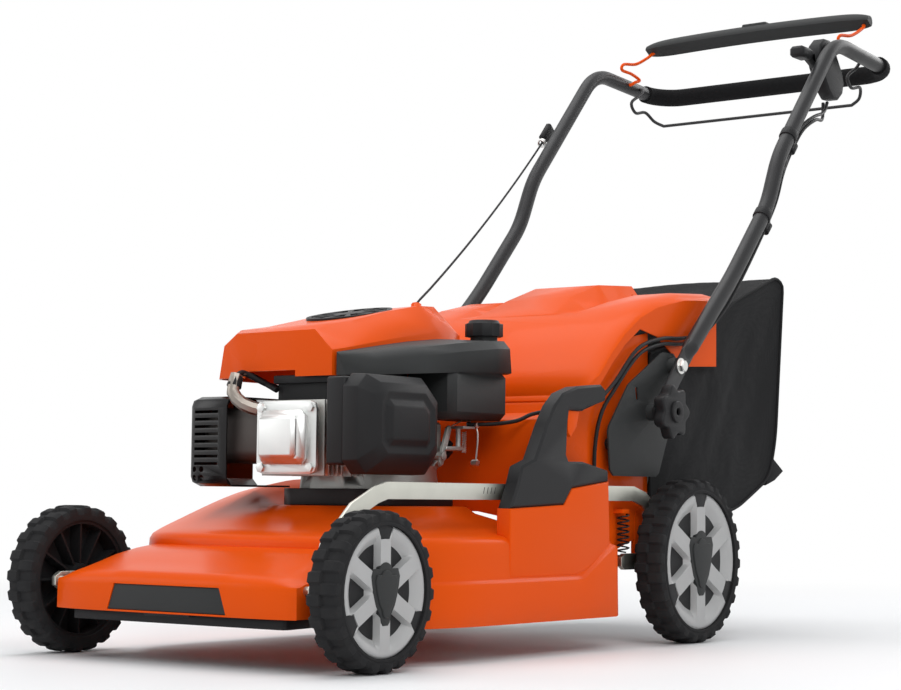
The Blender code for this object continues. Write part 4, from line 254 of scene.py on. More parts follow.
class Nodes:
    """A node tree, with one way to add a node to it."""

    def __init__(self, tree):
        self.tree = tree

    def node(self, kind, settings, sockets, output=0):
        made = self.tree.nodes.new(kind)
        for key, value in settings.items():
            setattr(made, key, value)
        for key, value in sockets.items():
            self.feed(made.inputs[key], value)
        return Term(self, made.outputs[output])

    def feed(self, socket, value):
        if isinstance(value, Term):
            self.tree.links.new(value.socket, socket)
        else:
            socket.default_value = value

    def math(self, operation, first, second=0.0):
        return self.node("ShaderNodeMath", {"operation": operation}, {0: first, 1: second})

    def rays(self, *kinds):
        """One for rays of these kinds, and nothing for all others."""
        terms = [self.node("ShaderNodeLightPath", {}, {}, f"Is {kind} Ray") for kind in kinds]
        share = terms[0]
        for term in terms[1:]:
            share = self.math("MAXIMUM", share, term)
        return share


class Shading(Nodes):
    """A material with one Principled BSDF, and the nodes that vary it over the surface."""

    def __init__(self, name, colour, roughness, metallic=0.0, **fixed):
        self.material = bpy.data.materials.new(name)
        self.material.use_nodes = True
        super().__init__(self.material.node_tree)
        self.shader = self.tree.nodes["Principled BSDF"]
        self.colour = (*colour, 1.0)
        self.set("Base Color", self.colour)
        self.set("Roughness", roughness)
        self.set("Metallic", metallic)
        for key, value in fixed.items():
            self.set(key.replace("_", " "), value)
        self.place = self.node("ShaderNodeTexCoord", {}, {}, "Object")

    def set(self, name, value):
        self.feed(self.shader.inputs[name], value)

    def step(self, value, low, high):
        return self.node(
            "ShaderNodeMapRange",
            {"interpolation_type": "SMOOTHSTEP"},
            {"Value": value, "From Min": low, "From Max": high},
        )

    def noise(self, scale, detail=2.0, place=None):
        sockets = {"Vector": place or self.place, "Scale": scale, "Detail": detail}
        return self.node("ShaderNodeTexNoise", {}, sockets)

    def cells(self, scale):
        return self.node("ShaderNodeTexVoronoi", {}, {"Vector": self.place, "Scale": scale}, "Distance")

    def stretched(self, scale):
        return self.node("ShaderNodeVectorMath", {"operation": "MULTIPLY"}, {0: self.place, 1: scale})

    def part(self, axis):
        return self.node("ShaderNodeSeparateXYZ", {}, {0: self.place}, axis)

    def mix(self, factor, first, second):
        return self.node("ShaderNodeMix", {"data_type": "RGBA"}, {0: factor, 6: first, 7: second}, 2)

    def bump(self, height, distance, strength):
        sockets = {"Height": height, "Distance": distance, "Strength": strength}
        self.set("Normal", self.node("ShaderNodeBump", {}, sockets))

    def shade(self, factor, dark, light):
        """Base colour between two brightnesses of the finish's own colour."""
        low = (*[c * dark for c in self.colour[:3]], 1.0)
        high = (*[min(c * light, 1.0) for c in self.colour[:3]], 1.0)
        self.set("Base Color", self.mix(factor, low, high))


def gloss_paint(colours):
    """The sheet steel's paint, with road dust near the ground."""
    finish = Shading(
        "orange_gloss_paint", colours.paint, 0.3,
        Coat_Weight=0.04, Coat_Roughness=0.05, Specular_IOR_Level=0.06,
    )
    cloud = finish.noise(5, 3)
    height = finish.part("Z") + 0.03 * finish.noise(40, 4)
    dust = (1 - finish.step(height, 0.055, 0.085)) * finish.noise(90, 5)
    low = (*[c * 0.93 for c in colours.paint], 1.0)
    clean = finish.mix(cloud, low, finish.colour)
    finish.set("Base Color", finish.mix(dust * 0.12, clean, (0.30, 0.20, 0.12, 1.0)))
    finish.set("Roughness", 0.24 + 0.10 * cloud + dust * 0.2)
    finish.bump(finish.noise(260, 2), 0.00012, 0.35)
    return finish.material


def speckled(name, colour, metallic, specular, tone, gloss, grain):
    """A finish whose brightness, roughness and relief each follow a noise of their own.

    Each of the three gives its noise's scale and detail. Then tone has the darkest and lightest
    share of the colour, gloss the least roughness and what it gains, and grain the relief's
    height and strength.
    """
    finish = Shading(name, colour, gloss[2], metallic, Specular_IOR_Level=specular)
    finish.shade(finish.noise(*tone[:2]), *tone[2:])
    finish.set("Roughness", gloss[2] + gloss[3] * finish.noise(*gloss[:2]))
    finish.bump(finish.noise(*grain[:2]), *grain[2:])
    return finish.material


def grained(name, colour, roughness, grain, depth, gloss=0.16):
    """Moulded plastic or rubber with a cast grain."""
    finish = Shading(name, colour, roughness, Specular_IOR_Level=gloss)
    patches = finish.noise(14, 3)
    finish.shade(patches, 0.82, 1.18)
    finish.set("Roughness", roughness - 0.06 + 0.12 * patches)
    finish.bump(finish.cells(grain) + 0.5 * finish.noise(grain * 0.6, 3), depth, 0.6)
    return finish.material


def tyre_rubber(colours):
    """Dull rubber with dust in patches."""
    finish = Shading("tyre_rubber", [c * 1.15 for c in colours.black], 0.8, Specular_IOR_Level=0.14)
    dust = finish.noise(45, 5) ** 3.0
    finish.set("Base Color", finish.mix(dust * 0.5, finish.colour, (0.055, 0.052, 0.048, 1.0)))
    finish.set("Roughness", 0.68 + 0.22 * finish.noise(25, 4))
    finish.bump(finish.noise(700, 3), 0.0003, 0.5)
    return finish.material


def foam(colours):
    """Open-celled foam, darker than the plastic."""
    finish = Shading("foam_sleeve", [c * 0.55 for c in colours.black], 0.9, Specular_IOR_Level=0.12)
    finish.shade(finish.noise(120, 3), 0.8, 1.4)
    finish.bump(finish.cells(900) * 0.7 + finish.noise(400, 4), 0.0006, 0.7)
    return finish.material


def bright_metal(name, colour, roughness, streaks):
    """Bare or plated metal, with fine lines along the axis of the smallest streak number."""
    finish = Shading(name, colour, roughness, 1.0)
    lines = finish.noise(1.0, 3, finish.stretched(streaks))
    patches = finish.noise(30, 4)
    finish.shade(patches, 0.85, 1.05)
    finish.set("Roughness", roughness - 0.08 + 0.10 * lines + 0.12 * patches)
    finish.bump(lines, 0.00006, 0.4)
    return finish.material


def woven(colours):
    """Black bag cloth: crossed threads along the three axes, with a faint nap."""
    finish = Shading(
        "woven_cloth", [c * 0.62 for c in colours.black], 0.85, Sheen_Weight=0.06, Sheen_Roughness=0.5,
        Specular_IOR_Level=0.10,
    )
    across, up, along = (finish.math("SINE", finish.part(axis) * (2 * math.pi / THREAD)) for axis in "XZY")
    cloth = finish.math("MAXIMUM", across * up, up * along)
    cloth = finish.math("MAXIMUM", cloth, across * along)
    patches = finish.noise(9, 4)
    finish.shade(patches * 0.7 + 0.3 * finish.noise(350, 2), 0.75, 1.5)
    finish.set("Roughness", 0.78 + 0.16 * patches)
    finish.bump(cloth * 0.5 + finish.noise(28, 4), 0.0006, 0.5)
    return finish.material


FINISHES = {}


def make_finishes(colours):
    black = colours.black
    FINISHES.update(
        paint=gloss_paint(colours),
        orange_plastic=speckled(
            "orange_plastic", colours.paint, 0.0, 0.08,
            (60, 3, 0.92, 1.0), (180, 3, 0.34, 0.14), (1400, 2, 0.0001, 0.4),
        ),
        silver=speckled(
            "silver_trim", colours.trim, 0.15, 0.25,
            (35, 3, 0.92, 1.04), (120, 3, 0.36, 0.14), (1600, 2, 0.00008, 0.5),
        ),
        tyre=tyre_rubber(colours),
        moulding=grained("charcoal_moulding", colours.moulding, 0.50, 1300, 0.00022),
        black=grained("black_moulding", black, 0.46, 1500, 0.00016),
        gloss_black=grained("gloss_black_moulding", [c * 0.5 for c in black], 0.24, 900, 0.00005, 0.25),
        rubber=grained("black_rubber", [c * 0.9 for c in black], 0.72, 1100, 0.0002),
        foam=foam(colours),
        zinc=bright_metal("zinc_plate", (0.60, 0.60, 0.54), 0.36, (40, 900, 900)),
        steel=bright_metal("bright_steel", (0.72, 0.72, 0.70), 0.26, (700, 60, 700)),
        cast=speckled(
            "sand_cast_alloy", (0.50, 0.50, 0.48), 1.0, 0.5,
            (22, 4, 0.72, 1.02), (60, 4, 0.40, 0.22), (420, 4, 0.0005, 0.55),
        ),
        satin=bright_metal("satin_alloy", (0.74, 0.75, 0.74), 0.44, (60, 60, 60)),
        soot=bright_metal("sooty_steel", (0.10, 0.09, 0.085), 0.55, (90, 90, 90)),
        shield=bright_metal("plug_shield", (0.30, 0.27, 0.24), 0.38, (200, 60, 200)),
        blue=grained("blue_sleeve", (0.03, 0.22, 0.65), 0.5, 1200, 0.00005),
        cloth=woven(colours),
        enamel=speckled(
            "black_enamel", [c * 1.2 for c in black], 0.0, 0.28,
            (20, 3, 0.85, 1.2), (50, 3, 0.36, 0.12), (900, 2, 0.0001, 0.5),
        ),
    )


# Meshes


def at(x, y, z):
    """A point given from the middle between the axles, in the frame of the scene."""
    return Vector((x, y + AXLE_MIDDLE_Y, z))


def ease(value, low, high):
    """A smooth step from 0 at low to 1 at high."""
    t = min(max((value - low) / (high - low), 0.0), 1.0)
    return t * t * (3 - 2 * t)


def smooth_piece(name, mesh, finish):
    """A named object of one finish in the scene."""
    obj = bpy.data.objects.new(name, mesh)
    bpy.context.scene.collection.objects.link(obj)
    mesh.materials.clear()
    mesh.materials.append(FINISHES[finish])
    mesh.shade_smooth()
    return obj


def place_piece(name, mesh, finish, body, replaced, angle=SHARP_ANGLE):
    """A named piece that rides on a body of the model."""
    obj = smooth_piece(name, mesh, finish)
    mesh.set_sharp_from_angle(angle=math.radians(angle))
    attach(obj, body)
    if replaced:
        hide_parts(*replaced)
    return obj


def plain_mesh(bm):
    """The mesh held in a bmesh, which is freed."""
    mesh = bpy.data.meshes.new("shape")
    bm.to_mesh(mesh)
    bm.free()
    return mesh


def mesh_of(bm, weld=1e-6):
    """The mesh with its close points welded and its faces turned outwards."""
    bmesh.ops.remove_doubles(bm, verts=bm.verts, dist=weld)
    bmesh.ops.recalc_face_normals(bm, faces=bm.faces)
    return plain_mesh(bm)


def evaluated(obj):
    """The object's mesh with its modifiers applied, and the object removed."""
    bpy.context.scene.collection.objects.link(obj)
    bpy.context.view_layer.update()
    graph = bpy.context.evaluated_depsgraph_get()
    mesh = bpy.data.meshes.new_from_object(obj.evaluated_get(graph))
    bpy.data.objects.remove(obj, do_unlink=True)
    return mesh


def joined(meshes):
    bm = bmesh.new()
    for mesh in meshes:
        bm.from_mesh(mesh)
        bpy.data.meshes.remove(mesh)
    return plain_mesh(bm)


def modified(mesh, kind, **settings):
    """The mesh after one modifier."""
    obj = bpy.data.objects.new("shape", mesh)
    modifier = obj.modifiers.new(kind, kind)
    for key, value in settings.items():
        setattr(modifier, key, value)
    return evaluated(obj)


def softened(mesh, width, angle):
    """The mesh with its sharp edges rounded."""
    limit = math.radians(angle)
    return modified(
        mesh, "BEVEL", width=width, segments=2, limit_method="ANGLE", angle_limit=limit, harden_normals=False
    )


def thickened(mesh, thickness):
    """A sheet that is thickened inwards from its surface."""
    return modified(mesh, "SOLIDIFY", thickness=thickness, offset=-1.0)


def carved(mesh, tools):
    """The mesh without what each tool mesh takes out of it."""
    for tool in tools:
        helper = bpy.data.objects.new("tool", tool)
        bpy.context.scene.collection.objects.link(helper)
        mesh = modified(mesh, "BOOLEAN", operation="DIFFERENCE", solver="EXACT", object=helper)
        bpy.data.objects.remove(helper, do_unlink=True)
    return mesh


def clean_copy(node):
    """The node's mesh with its triangles joined back into flat faces."""
    bm = bmesh.new()
    bm.from_mesh(frame["nodes"][node].data)
    bmesh.ops.remove_doubles(bm, verts=bm.verts, dist=2e-6)
    flat = math.radians(1.0)
    bmesh.ops.dissolve_limit(bm, angle_limit=flat, verts=bm.verts, edges=bm.edges, delimit={"NORMAL"})
    return plain_mesh(bm)


def dress(node, finish, width):
    """A smoothed copy of a node, with rounded edges where the width isn't nought."""
    mesh = clean_copy(node)
    if width:
        mesh = softened(mesh, width, SHARP_ANGLE)
    return place_piece(f"{node}_look", mesh, finish, BODY_OF[node], (node,))


def grid(rows, closed=False, caps=False):
    """A surface of quads through rows of points. closed joins the ends of each row."""
    bm = bmesh.new()
    made = [[bm.verts.new(p) for p in row] for row in rows]
    count = len(made[0])
    for lower, upper in zip(made, made[1:]):
        for i in range(count if closed else count - 1):
            j = (i + 1) % count
            bm.faces.new((lower[i], lower[j], upper[j], upper[i]))
    if caps:
        bm.faces.new(made[0][::-1])
        bm.faces.new(made[-1])
    return bm


def box_mesh(low, high, bevel=0.0, segments=2):
    """A block between two corners, its edges rounded where a bevel is given."""
    bm = bmesh.new()
    size = Vector(high) - Vector(low)
    middle = (Vector(high) + Vector(low)) / 2
    bmesh.ops.create_cube(bm, size=1, matrix=Matrix.Translation(middle) @ Matrix.Diagonal((*size, 1)))
    if bevel:
        bmesh.ops.bevel(bm, geom=bm.edges, offset=bevel, segments=segments, affect="EDGES", profile=0.6)
    return mesh_of(bm)


def bar_mesh(start, end, radius, steps, end_radius=None, bevel=0.0):
    """A round bar or a cone between two points."""
    start, end = Vector(start), Vector(end)
    bm = bmesh.new()
    far = radius if end_radius is None else end_radius
    length = (end - start).length
    bmesh.ops.create_cone(bm, cap_ends=True, segments=steps, radius1=radius, radius2=far, depth=length)
    if bevel:
        rims = [e for e in bm.edges if len(e.link_faces) == 2 and e.calc_face_angle() > 0.9]
        bmesh.ops.bevel(bm, geom=rims, offset=bevel, segments=2, affect="EDGES", profile=0.5)
    turn = (end - start).to_track_quat("Z", "Y").to_matrix().to_4x4()
    bmesh.ops.transform(bm, matrix=Matrix.Translation((start + end) / 2) @ turn, verts=bm.verts)
    return mesh_of(bm)


def wire_mesh(points, radius, resolution, cyclic=False):
    """A round wire along a line of points."""
    curve = bpy.data.curves.new("wire", "CURVE")
    curve.dimensions = "3D"
    curve.bevel_depth = radius
    curve.bevel_resolution = resolution
    curve.use_fill_caps = not cyclic
    spline = curve.splines.new("POLY")
    spline.points.add(len(points) - 1)
    for point, place in zip(spline.points, points):
        point.co = (*place, 1)
    spline.use_cyclic_u = cyclic
    return evaluated(bpy.data.objects.new("wire", curve))


def prism_mesh(outline, axis, low, high, bevel=0.0, segments=2, holes=()):
    """A flat plate across the X or Y axis, its edges rounded. A hole's outline runs the other way round."""
    curve = bpy.data.curves.new("outline", "CURVE")
    curve.dimensions = "2D"
    curve.fill_mode = "BOTH"
    curve.extrude = (high - low) / 2 - bevel
    curve.bevel_depth = bevel
    curve.bevel_resolution = segments
    curve.offset = -bevel
    for loop in (outline, *holes):
        spline = curve.splines.new("POLY")
        spline.points.add(len(loop) - 1)
        for point, (u, v) in zip(spline.points, loop):
            point.co = (u, v, 0, 1)
        spline.use_cyclic_u = True
    mesh = evaluated(bpy.data.objects.new("outline", curve))
    first = ((0, 0, 1, 0), (1, 0, 0, 0)) if axis == "X" else ((1, 0, 0, 0), (0, 0, 1, 0))
    turn = Matrix((*first, (0, 1, 0, 0), (0, 0, 0, 1)))
    mesh.transform(turn @ Matrix.Translation((0, 0, (low + high) / 2)))
    bm = bmesh.new()
    bm.from_mesh(mesh)
    bpy.data.meshes.remove(mesh)
    return mesh_of(bm)


def smooth_line(points, per_span):
    """Points on a smooth curve through the given ones."""
    points = [Vector(p) for p in points]
    line = []
    for a, b, c, d in zip([points[0], *points], points, points[1:], [*points[2:], points[-1]]):
        slope, bend, twist = c - a, 2 * a - 5 * b + 4 * c - d, 3 * b - a - 3 * c + d
        for t in (k / per_span for k in range(per_span)):
            line.append(0.5 * (2 * b + slope * t + bend * t**2 + twist * t**3))
    return line + [points[-1]]


def run_of(line):
    """The length of a line of points."""
    return sum((b - a).length for a, b in zip(line, line[1:]))


def circle(centre, radius, steps):
    angles = [2 * math.pi * k / steps for k in range(steps)]
    return [(centre[0] + radius * math.cos(a), centre[1] + radius * math.sin(a)) for a in angles]


def strip(start, end, radius, steps):
    """The outline of a strip with a half circle round each end."""
    start, end = Vector(start), Vector(end)
    heading = math.atan2((end - start).y, (end - start).x)
    points = []
    for centre, base in ((end, heading - math.pi / 2), (start, heading + math.pi / 2)):
        for k in range(steps + 1):
            angle = base + math.pi * k / steps
            points.append((centre.x + radius * math.cos(angle), centre.y + radius * math.sin(angle)))
    return points


def turned(before, corner, after, cut, steps):
    """Points on a round turn at a corner of a line."""
    before, corner, after = Vector(before), Vector(corner), Vector(after)
    start = corner + (before - corner).normalized() * cut
    end = corner + (after - corner).normalized() * cut
    shares = [k / steps for k in range(steps + 1)]
    return [start * (1 - t) ** 2 + corner * 2 * t * (1 - t) + end * t * t for t in shares]


def opened(mesh, low, high):
    """The mesh without the faces whose middles lie in a box."""
    bm = bmesh.new()
    bm.from_mesh(mesh)
    inside = [f for f in bm.faces if all(a < c < b for a, c, b in zip(low, f.calc_center_median(), high))]
    bmesh.ops.delete(bm, geom=inside, context="FACES")
    return plain_mesh(bm)


def shifted(mesh):
    """Moves a mesh made from the middle between the axles into the frame of the scene."""
    mesh.transform(Matrix.Translation((0, AXLE_MIDDLE_Y, 0)))
    return mesh


def set_on(mesh, matrix):
    """The mesh moved by a matrix, with its faces turned back out where that mirrors it."""
    mesh.transform(matrix)
    if matrix.determinant() < 0:
        mesh.flip_normals()
    return mesh


# Wheels


def tyre_mesh(radius, trim_radius, lugs, height):
    """A tyre about the X axis, with two staggered rows of blocks that run over its shoulders."""
    half = WHEEL_HALF_WIDTH
    base = radius - height
    lug = [(half - inset, base - drop, 1) for inset, drop in LUG_RINGS] + [(LUG_GAP, base, 1)]
    section = [
        # distance from the middle plane, radius, and the row of blocks that it belongs to
        (half - 0.0005, trim_radius + 0.0005, 0),
        (half - 0.0002, trim_radius + 0.0035, 0),
        (half - 0.0012, trim_radius + 0.0050, 0),
        (half - 0.0008, base - 0.0085, 0),
        *lug,
        *[(-out, reach, -band) for out, reach, band in reversed(lug)],
        (-half + 0.0008, base - 0.0085, 0),
        (-half + 0.0006, trim_radius + 0.002, 0),
        (-half + 0.0016, trim_radius - 0.001, 0),
        (-half + 0.0160, trim_radius - 0.004, 0),
        (half - 0.0120, trim_radius - 0.004, 0),
        (half - 0.0120, trim_radius + 0.0005, 0),
    ]
    rows = []
    for k in range(4 * lugs):
        pitch, phase = divmod(k, 4)
        angle = 2 * math.pi * (pitch + (0.0, 0.10, 0.50, 0.60)[phase]) / lugs - math.pi / 2
        raised_band = 1 if phase in (1, 2) else -1
        row = []
        for out, reach, band in section:
            if band == raised_band:
                reach += height * (0.35 if abs(out) > half - 0.0006 else 1.0)
            elif band and abs(out) > half - 0.002:
                out -= math.copysign(LUG_FLARE, out)
            row.append(Vector((out, reach * math.cos(angle), reach * math.sin(angle))))
        rows.append(row)
    rows.append(rows[0])
    return mesh_of(grid(rows, closed=True))


def web_mesh(trim_radius):
    """The black wheel body behind the trim: a dished plate with a hub and ribs."""
    half = WHEEL_HALF_WIDTH
    profile = [
        (half - 0.0120, 0.0066),
        (half - 0.0120, trim_radius - 0.001),
        (-half + 0.0050, trim_radius - 0.001),
        (-half + 0.0050, trim_radius - 0.0060),
        (half - 0.0200, trim_radius - 0.0080),
        (half - 0.0200, 0.0240),
        (-half + 0.0020, 0.0200),
        (-half + 0.0020, 0.0066),
    ]
    angles = [2 * math.pi * k / 72 for k in range(73)]
    rows = [[Vector((x, r * math.cos(angle), r * math.sin(angle))) for x, r in profile] for angle in angles]
    meshes = [mesh_of(grid(rows, closed=True))]
    for k in range(WEB_RIBS):
        rib = box_mesh((-half + 0.0085, -0.0014, 0.0200), (half - 0.0195, 0.0014, trim_radius - 0.0065))
        rib.transform(Matrix.Rotation(2 * math.pi * k / WEB_RIBS, 4, "X"))
        meshes.append(rib)
    wide, narrow, low, high = (share * trim_radius for share in (0.205, 0.108, 0.802, 1.01))
    outline = [(-wide, high), (-narrow, low), (narrow, low), (wide, high)]
    for k in range(WEB_TABS):
        tab = prism_mesh(outline, "X", half - 0.0125, half - 0.0034, 0.0009)
        tab.transform(Matrix.Rotation(2 * math.pi * k / WEB_TABS, 4, "X"))
        meshes.append(tab)
    return joined(meshes)


def trim_mesh(radius):
    """The silver face: a ring, six flat spokes, and between them sloped pockets with a window.

    A column's share runs from 0 at the middle of a spoke to 1 at its edge, 2 at the foot of the
    pocket's slope and 3 halfway to the next spoke. Every other spoke has a notch at the rim.
    """
    ranks = (
        0.28, 0.34, 0.39, 0.43, 0.48, 0.53, 0.58, 0.63, 0.66,
        0.70, 0.75, 0.80, 0.84, 0.88, 0.92, 0.96, 0.985, 1.0,
    )
    middle_angle = math.radians(30)
    spoke, floor = 0.122, 0.158
    window_ranks = (0.35, 0.65)
    notch_rank = 0.79
    lip_rank = 0.965
    shares = (0.0, 0.5, 1.0, 1.33, 1.66, 2.0, 2.25, 2.5, 2.75, 3.0)
    across = [-t for t in shares[:0:-1]] + list(shares)
    columns = [(turn, share) for turn in range(6) for share in across]
    bm = bmesh.new()
    made = []
    for turn, share in columns:
        row = []
        for rank in ranks:
            edge, low = (min(math.asin(min(wide / rank, 1.0)), middle_angle) for wide in (spoke, floor))
            reach = abs(share)
            if reach <= 1:
                away = edge * reach
            elif reach <= 2:
                away = edge + (low - edge) * (reach - 1)
            else:
                away = low + (middle_angle - low) * (reach - 2)
            room = ease(middle_angle - low, 0.0, 0.12)
            fall = min(max(reach - 1, 0.0), 1.0)
            pocket = fall * room * (1 - ease(rank, 0.66, 0.93))
            depth = 0.0120 * pocket + 0.0024 * ease(rank, lip_rank, 1.0)
            if turn % 2 == 0 and reach <= 2.5 and rank > notch_rank:
                flare = 0.92 + 3.2 * (rank - notch_rank)
                away = edge * reach * flare if reach <= 1 else max(away, edge * flare + (reach - 1) * 0.02)
            angle = math.radians(60 * turn) + math.copysign(away, share)
            place = (TRIM_FACE_X - depth, radius * rank * math.sin(angle), radius * rank * math.cos(angle))
            row.append(bm.verts.new(place))
        made.append(row)
    for k, (turn, share) in enumerate(columns):
        following = (k + 1) % len(columns)
        after = columns[following][1]
        for i in range(len(ranks) - 1):
            window = min(abs(share), abs(after)) >= 2 and window_ranks[0] < ranks[i] < window_ranks[1]
            notch = turn % 2 == 0 and max(abs(share), abs(after)) <= 1 and ranks[i] > notch_rank
            if not window and not notch:
                bm.faces.new((made[k][i], made[following][i], made[following][i + 1], made[k][i + 1]))
    return thickened(mesh_of(bm, 1e-5), 0.0022)


def cap_outline(radius, scale):
    """The centre cap: a shield with a round crown, two square ears and a long foot."""
    angles = [math.radians(d) for d in range(0, 76, 12)]
    crown = [(0.165 * math.sin(a), 0.305 + 0.145 * math.cos(a)) for a in angles]
    right = crown + [
        (0.185, 0.350), (0.300, 0.355), (0.345, 0.240), (0.320, 0.090), (0.280, -0.060), (0.225, -0.210),
        (0.130, -0.350), (0.105, -0.455), (0.060, -0.505),
    ]
    outline = right + [(-x, z) for x, z in reversed(right[1:])]
    return [(radius * scale * x, radius * (scale * (z + 0.03) - 0.03)) for x, z in outline]


def cap_mesh(radius):
    base = prism_mesh(cap_outline(radius, 1.0), "X", TRIM_FACE_X - 0.006, TRIM_FACE_X + 0.0010, 0.0009)
    raised = prism_mesh(cap_outline(radius, 0.76), "X", TRIM_FACE_X, TRIM_FACE_X + 0.0030, 0.0016, 3)
    return joined([base, raised])


def wheel_place(end, side):
    """What moves a wheel made about the X axis to its place, mirrored on the far side."""
    y, radius = (FRONT_AXLE_Y, FRONT_RADIUS) if end == "front" else (REAR_AXLE_Y, REAR_RADIUS)
    return Matrix.Translation(at(side * WHEEL_MIDDLE_X, y, radius)) @ Matrix.Scale(side, 4, (1, 0, 0))


def make_wheels(sizes):
    sets = (
        ("front", FRONT_RADIUS, FRONT_TRIM_RADIUS, sizes.front_lugs),
        ("rear", REAR_RADIUS, REAR_TRIM_RADIUS, sizes.rear_lugs),
    )
    for end, radius, trim_radius, lugs in sets:
        for hand, side in HANDS:
            place = wheel_place(end, side)
            wheel = f"{end}_{hand}"
            body = BODY_OF[f"tyre_{wheel}"]
            tread = set_on(tyre_mesh(radius, trim_radius, lugs, sizes.lug_height), place)
            place_piece(f"tread_{wheel}", tread, "tyre", body, (f"tyre_{wheel}",), 30)
            web = set_on(web_mesh(trim_radius), place)
            place_piece(f"web_{wheel}", web, "black", body, (), 30)
            face = set_on(trim_mesh(trim_radius), place)
            place_piece(f"face_{wheel}", face, "silver", body, (f"trim_{wheel}",), 40)
            cap = set_on(cap_mesh(trim_radius), place)
            place_piece(f"cap_{wheel}", cap, "moulding", body, (), 40)


# Deck and bumper


def deck_outline(inset):
    """The deck in plan: a rounded front, straight sides and a squarer rear with rounded corners."""
    half = DECK_HALF_WIDTH - inset
    front = DECK_FRONT_REACH - inset
    rear_y = BLADE_Y + DECK_REAR_REACH - inset
    corner = 0.018 + inset
    right = [(half, BLADE_Y + 0.002 + 0.158 * k / 8) for k in range(9)]
    for angle in (math.pi / 2 * k / 6 for k in range(7)):
        right.append((half - corner + corner * math.cos(angle), rear_y - corner + corner * math.sin(angle)))
    right += [((half - corner) * (1 - k / 10), rear_y) for k in range(1, 10)]
    points = right + [(0.0, rear_y)] + [(-x, y) for x, y in reversed(right)]
    for angle in (math.pi + math.pi * k / 72 for k in range(73)):
        c, s = math.cos(angle), math.sin(angle)
        scale = (c**4 + s**4) ** -0.25
        points.append((half * c * scale, BLADE_Y + front * s * scale))
    return points


def drawn_in(outline, radius, share):
    """The outline drawn towards a circle round the blade's axis."""
    points = []
    for x, y in outline:
        reach = math.hypot(x, y - BLADE_Y)
        scale = (reach * (1 - share) + radius * share) / reach
        points.append((x * scale, BLADE_Y + (y - BLADE_Y) * scale))
    return points


def volute(x, y):
    """How far the roof rises towards the discharge."""
    return VOLUTE_RISE * ease(y, BLADE_Y - 0.235, BLADE_Y + 0.075) * ease(-x, -0.02, 0.20)


def ledge_sweep(y):
    """How far the ledge sweeps up before the rear wheels."""
    return 0.045 * ease(y, BLADE_Y + 0.165, BLADE_Y + 0.230)


DECK_LEVELS = (
    # inset, height, share of the circle, rise of the roof, rise of the ledge
    (0.0010, SKIRT_BOTTOM_Z, 0.0, 0, 0),
    (0.0000, SKIRT_BOTTOM_Z + 0.0015, 0.0, 0, 0),
    (0.0004, 0.076, 0.0, 0, 0.4),
    (0.0008, LEDGE_Z - 0.002, 0.0, 0, 1),
    (0.0018, LEDGE_Z + 0.0010, 0.0, 0, 1),
    (LEDGE_STEP - 0.0010, LEDGE_Z + 0.0032, 0.0, 0, 1),
    (LEDGE_STEP, LEDGE_Z + 0.0052, 0.0, 0, 1),
    (LEDGE_STEP + 0.0004, LEDGE_Z + 0.016, 0.0, 0.2, 0.8),
    (LEDGE_STEP + 0.0008, WALL_TOP_Z - 0.010, 0.0, 0.9, 0.2),
    (LEDGE_STEP + 0.0014, WALL_TOP_Z - 0.001, 0.0, 1, 0),
    (LEDGE_STEP + 0.0045, WALL_TOP_Z + 0.0050, 0.0, 1, 0),
    (LEDGE_STEP + 0.0110, WALL_TOP_Z + 0.0090, 0.0, 1, 0),
    (0.0280, WALL_TOP_Z + 0.0150, 0.20, 1, 0),
    (PLATEAU_INSET, WALL_TOP_Z + 0.0210, 0.45, 1, 0),
    (PLATEAU_INSET, WALL_TOP_Z + 0.0290, 0.70, 0.72, 0),
    (PLATEAU_INSET, PLATEAU_Z - 0.0100, 0.90, 0.25, 0),
    (PLATEAU_INSET, PLATEAU_Z - 0.0010, 0.985, 0.03, 0),
    (PLATEAU_INSET, PLATEAU_Z, 1.03, 0, 0),
)


def deck_mesh():
    rings = []
    for inset, z, share, rises, sweeps in DECK_LEVELS:
        outline = drawn_in(deck_outline(inset), PLATEAU_RADIUS, share)
        rings.append([at(x, y, z + rises * volute(x, y) + sweeps * ledge_sweep(y)) for x, y in outline])
    rings.append([at(x, y, PLATEAU_Z) for x, y in drawn_in(deck_outline(PLATEAU_INSET), SPINDLE_HOLE, 1.0)])
    return mesh_of(grid(rings, closed=True))


def deck_front_y(x, inset):
    """Where the deck's rounded front stands, so far from the middle."""
    share = min(abs(x) / (DECK_HALF_WIDTH - inset), 0.999)
    return BLADE_Y - (DECK_FRONT_REACH - inset) * (1 - share**4) ** 0.25




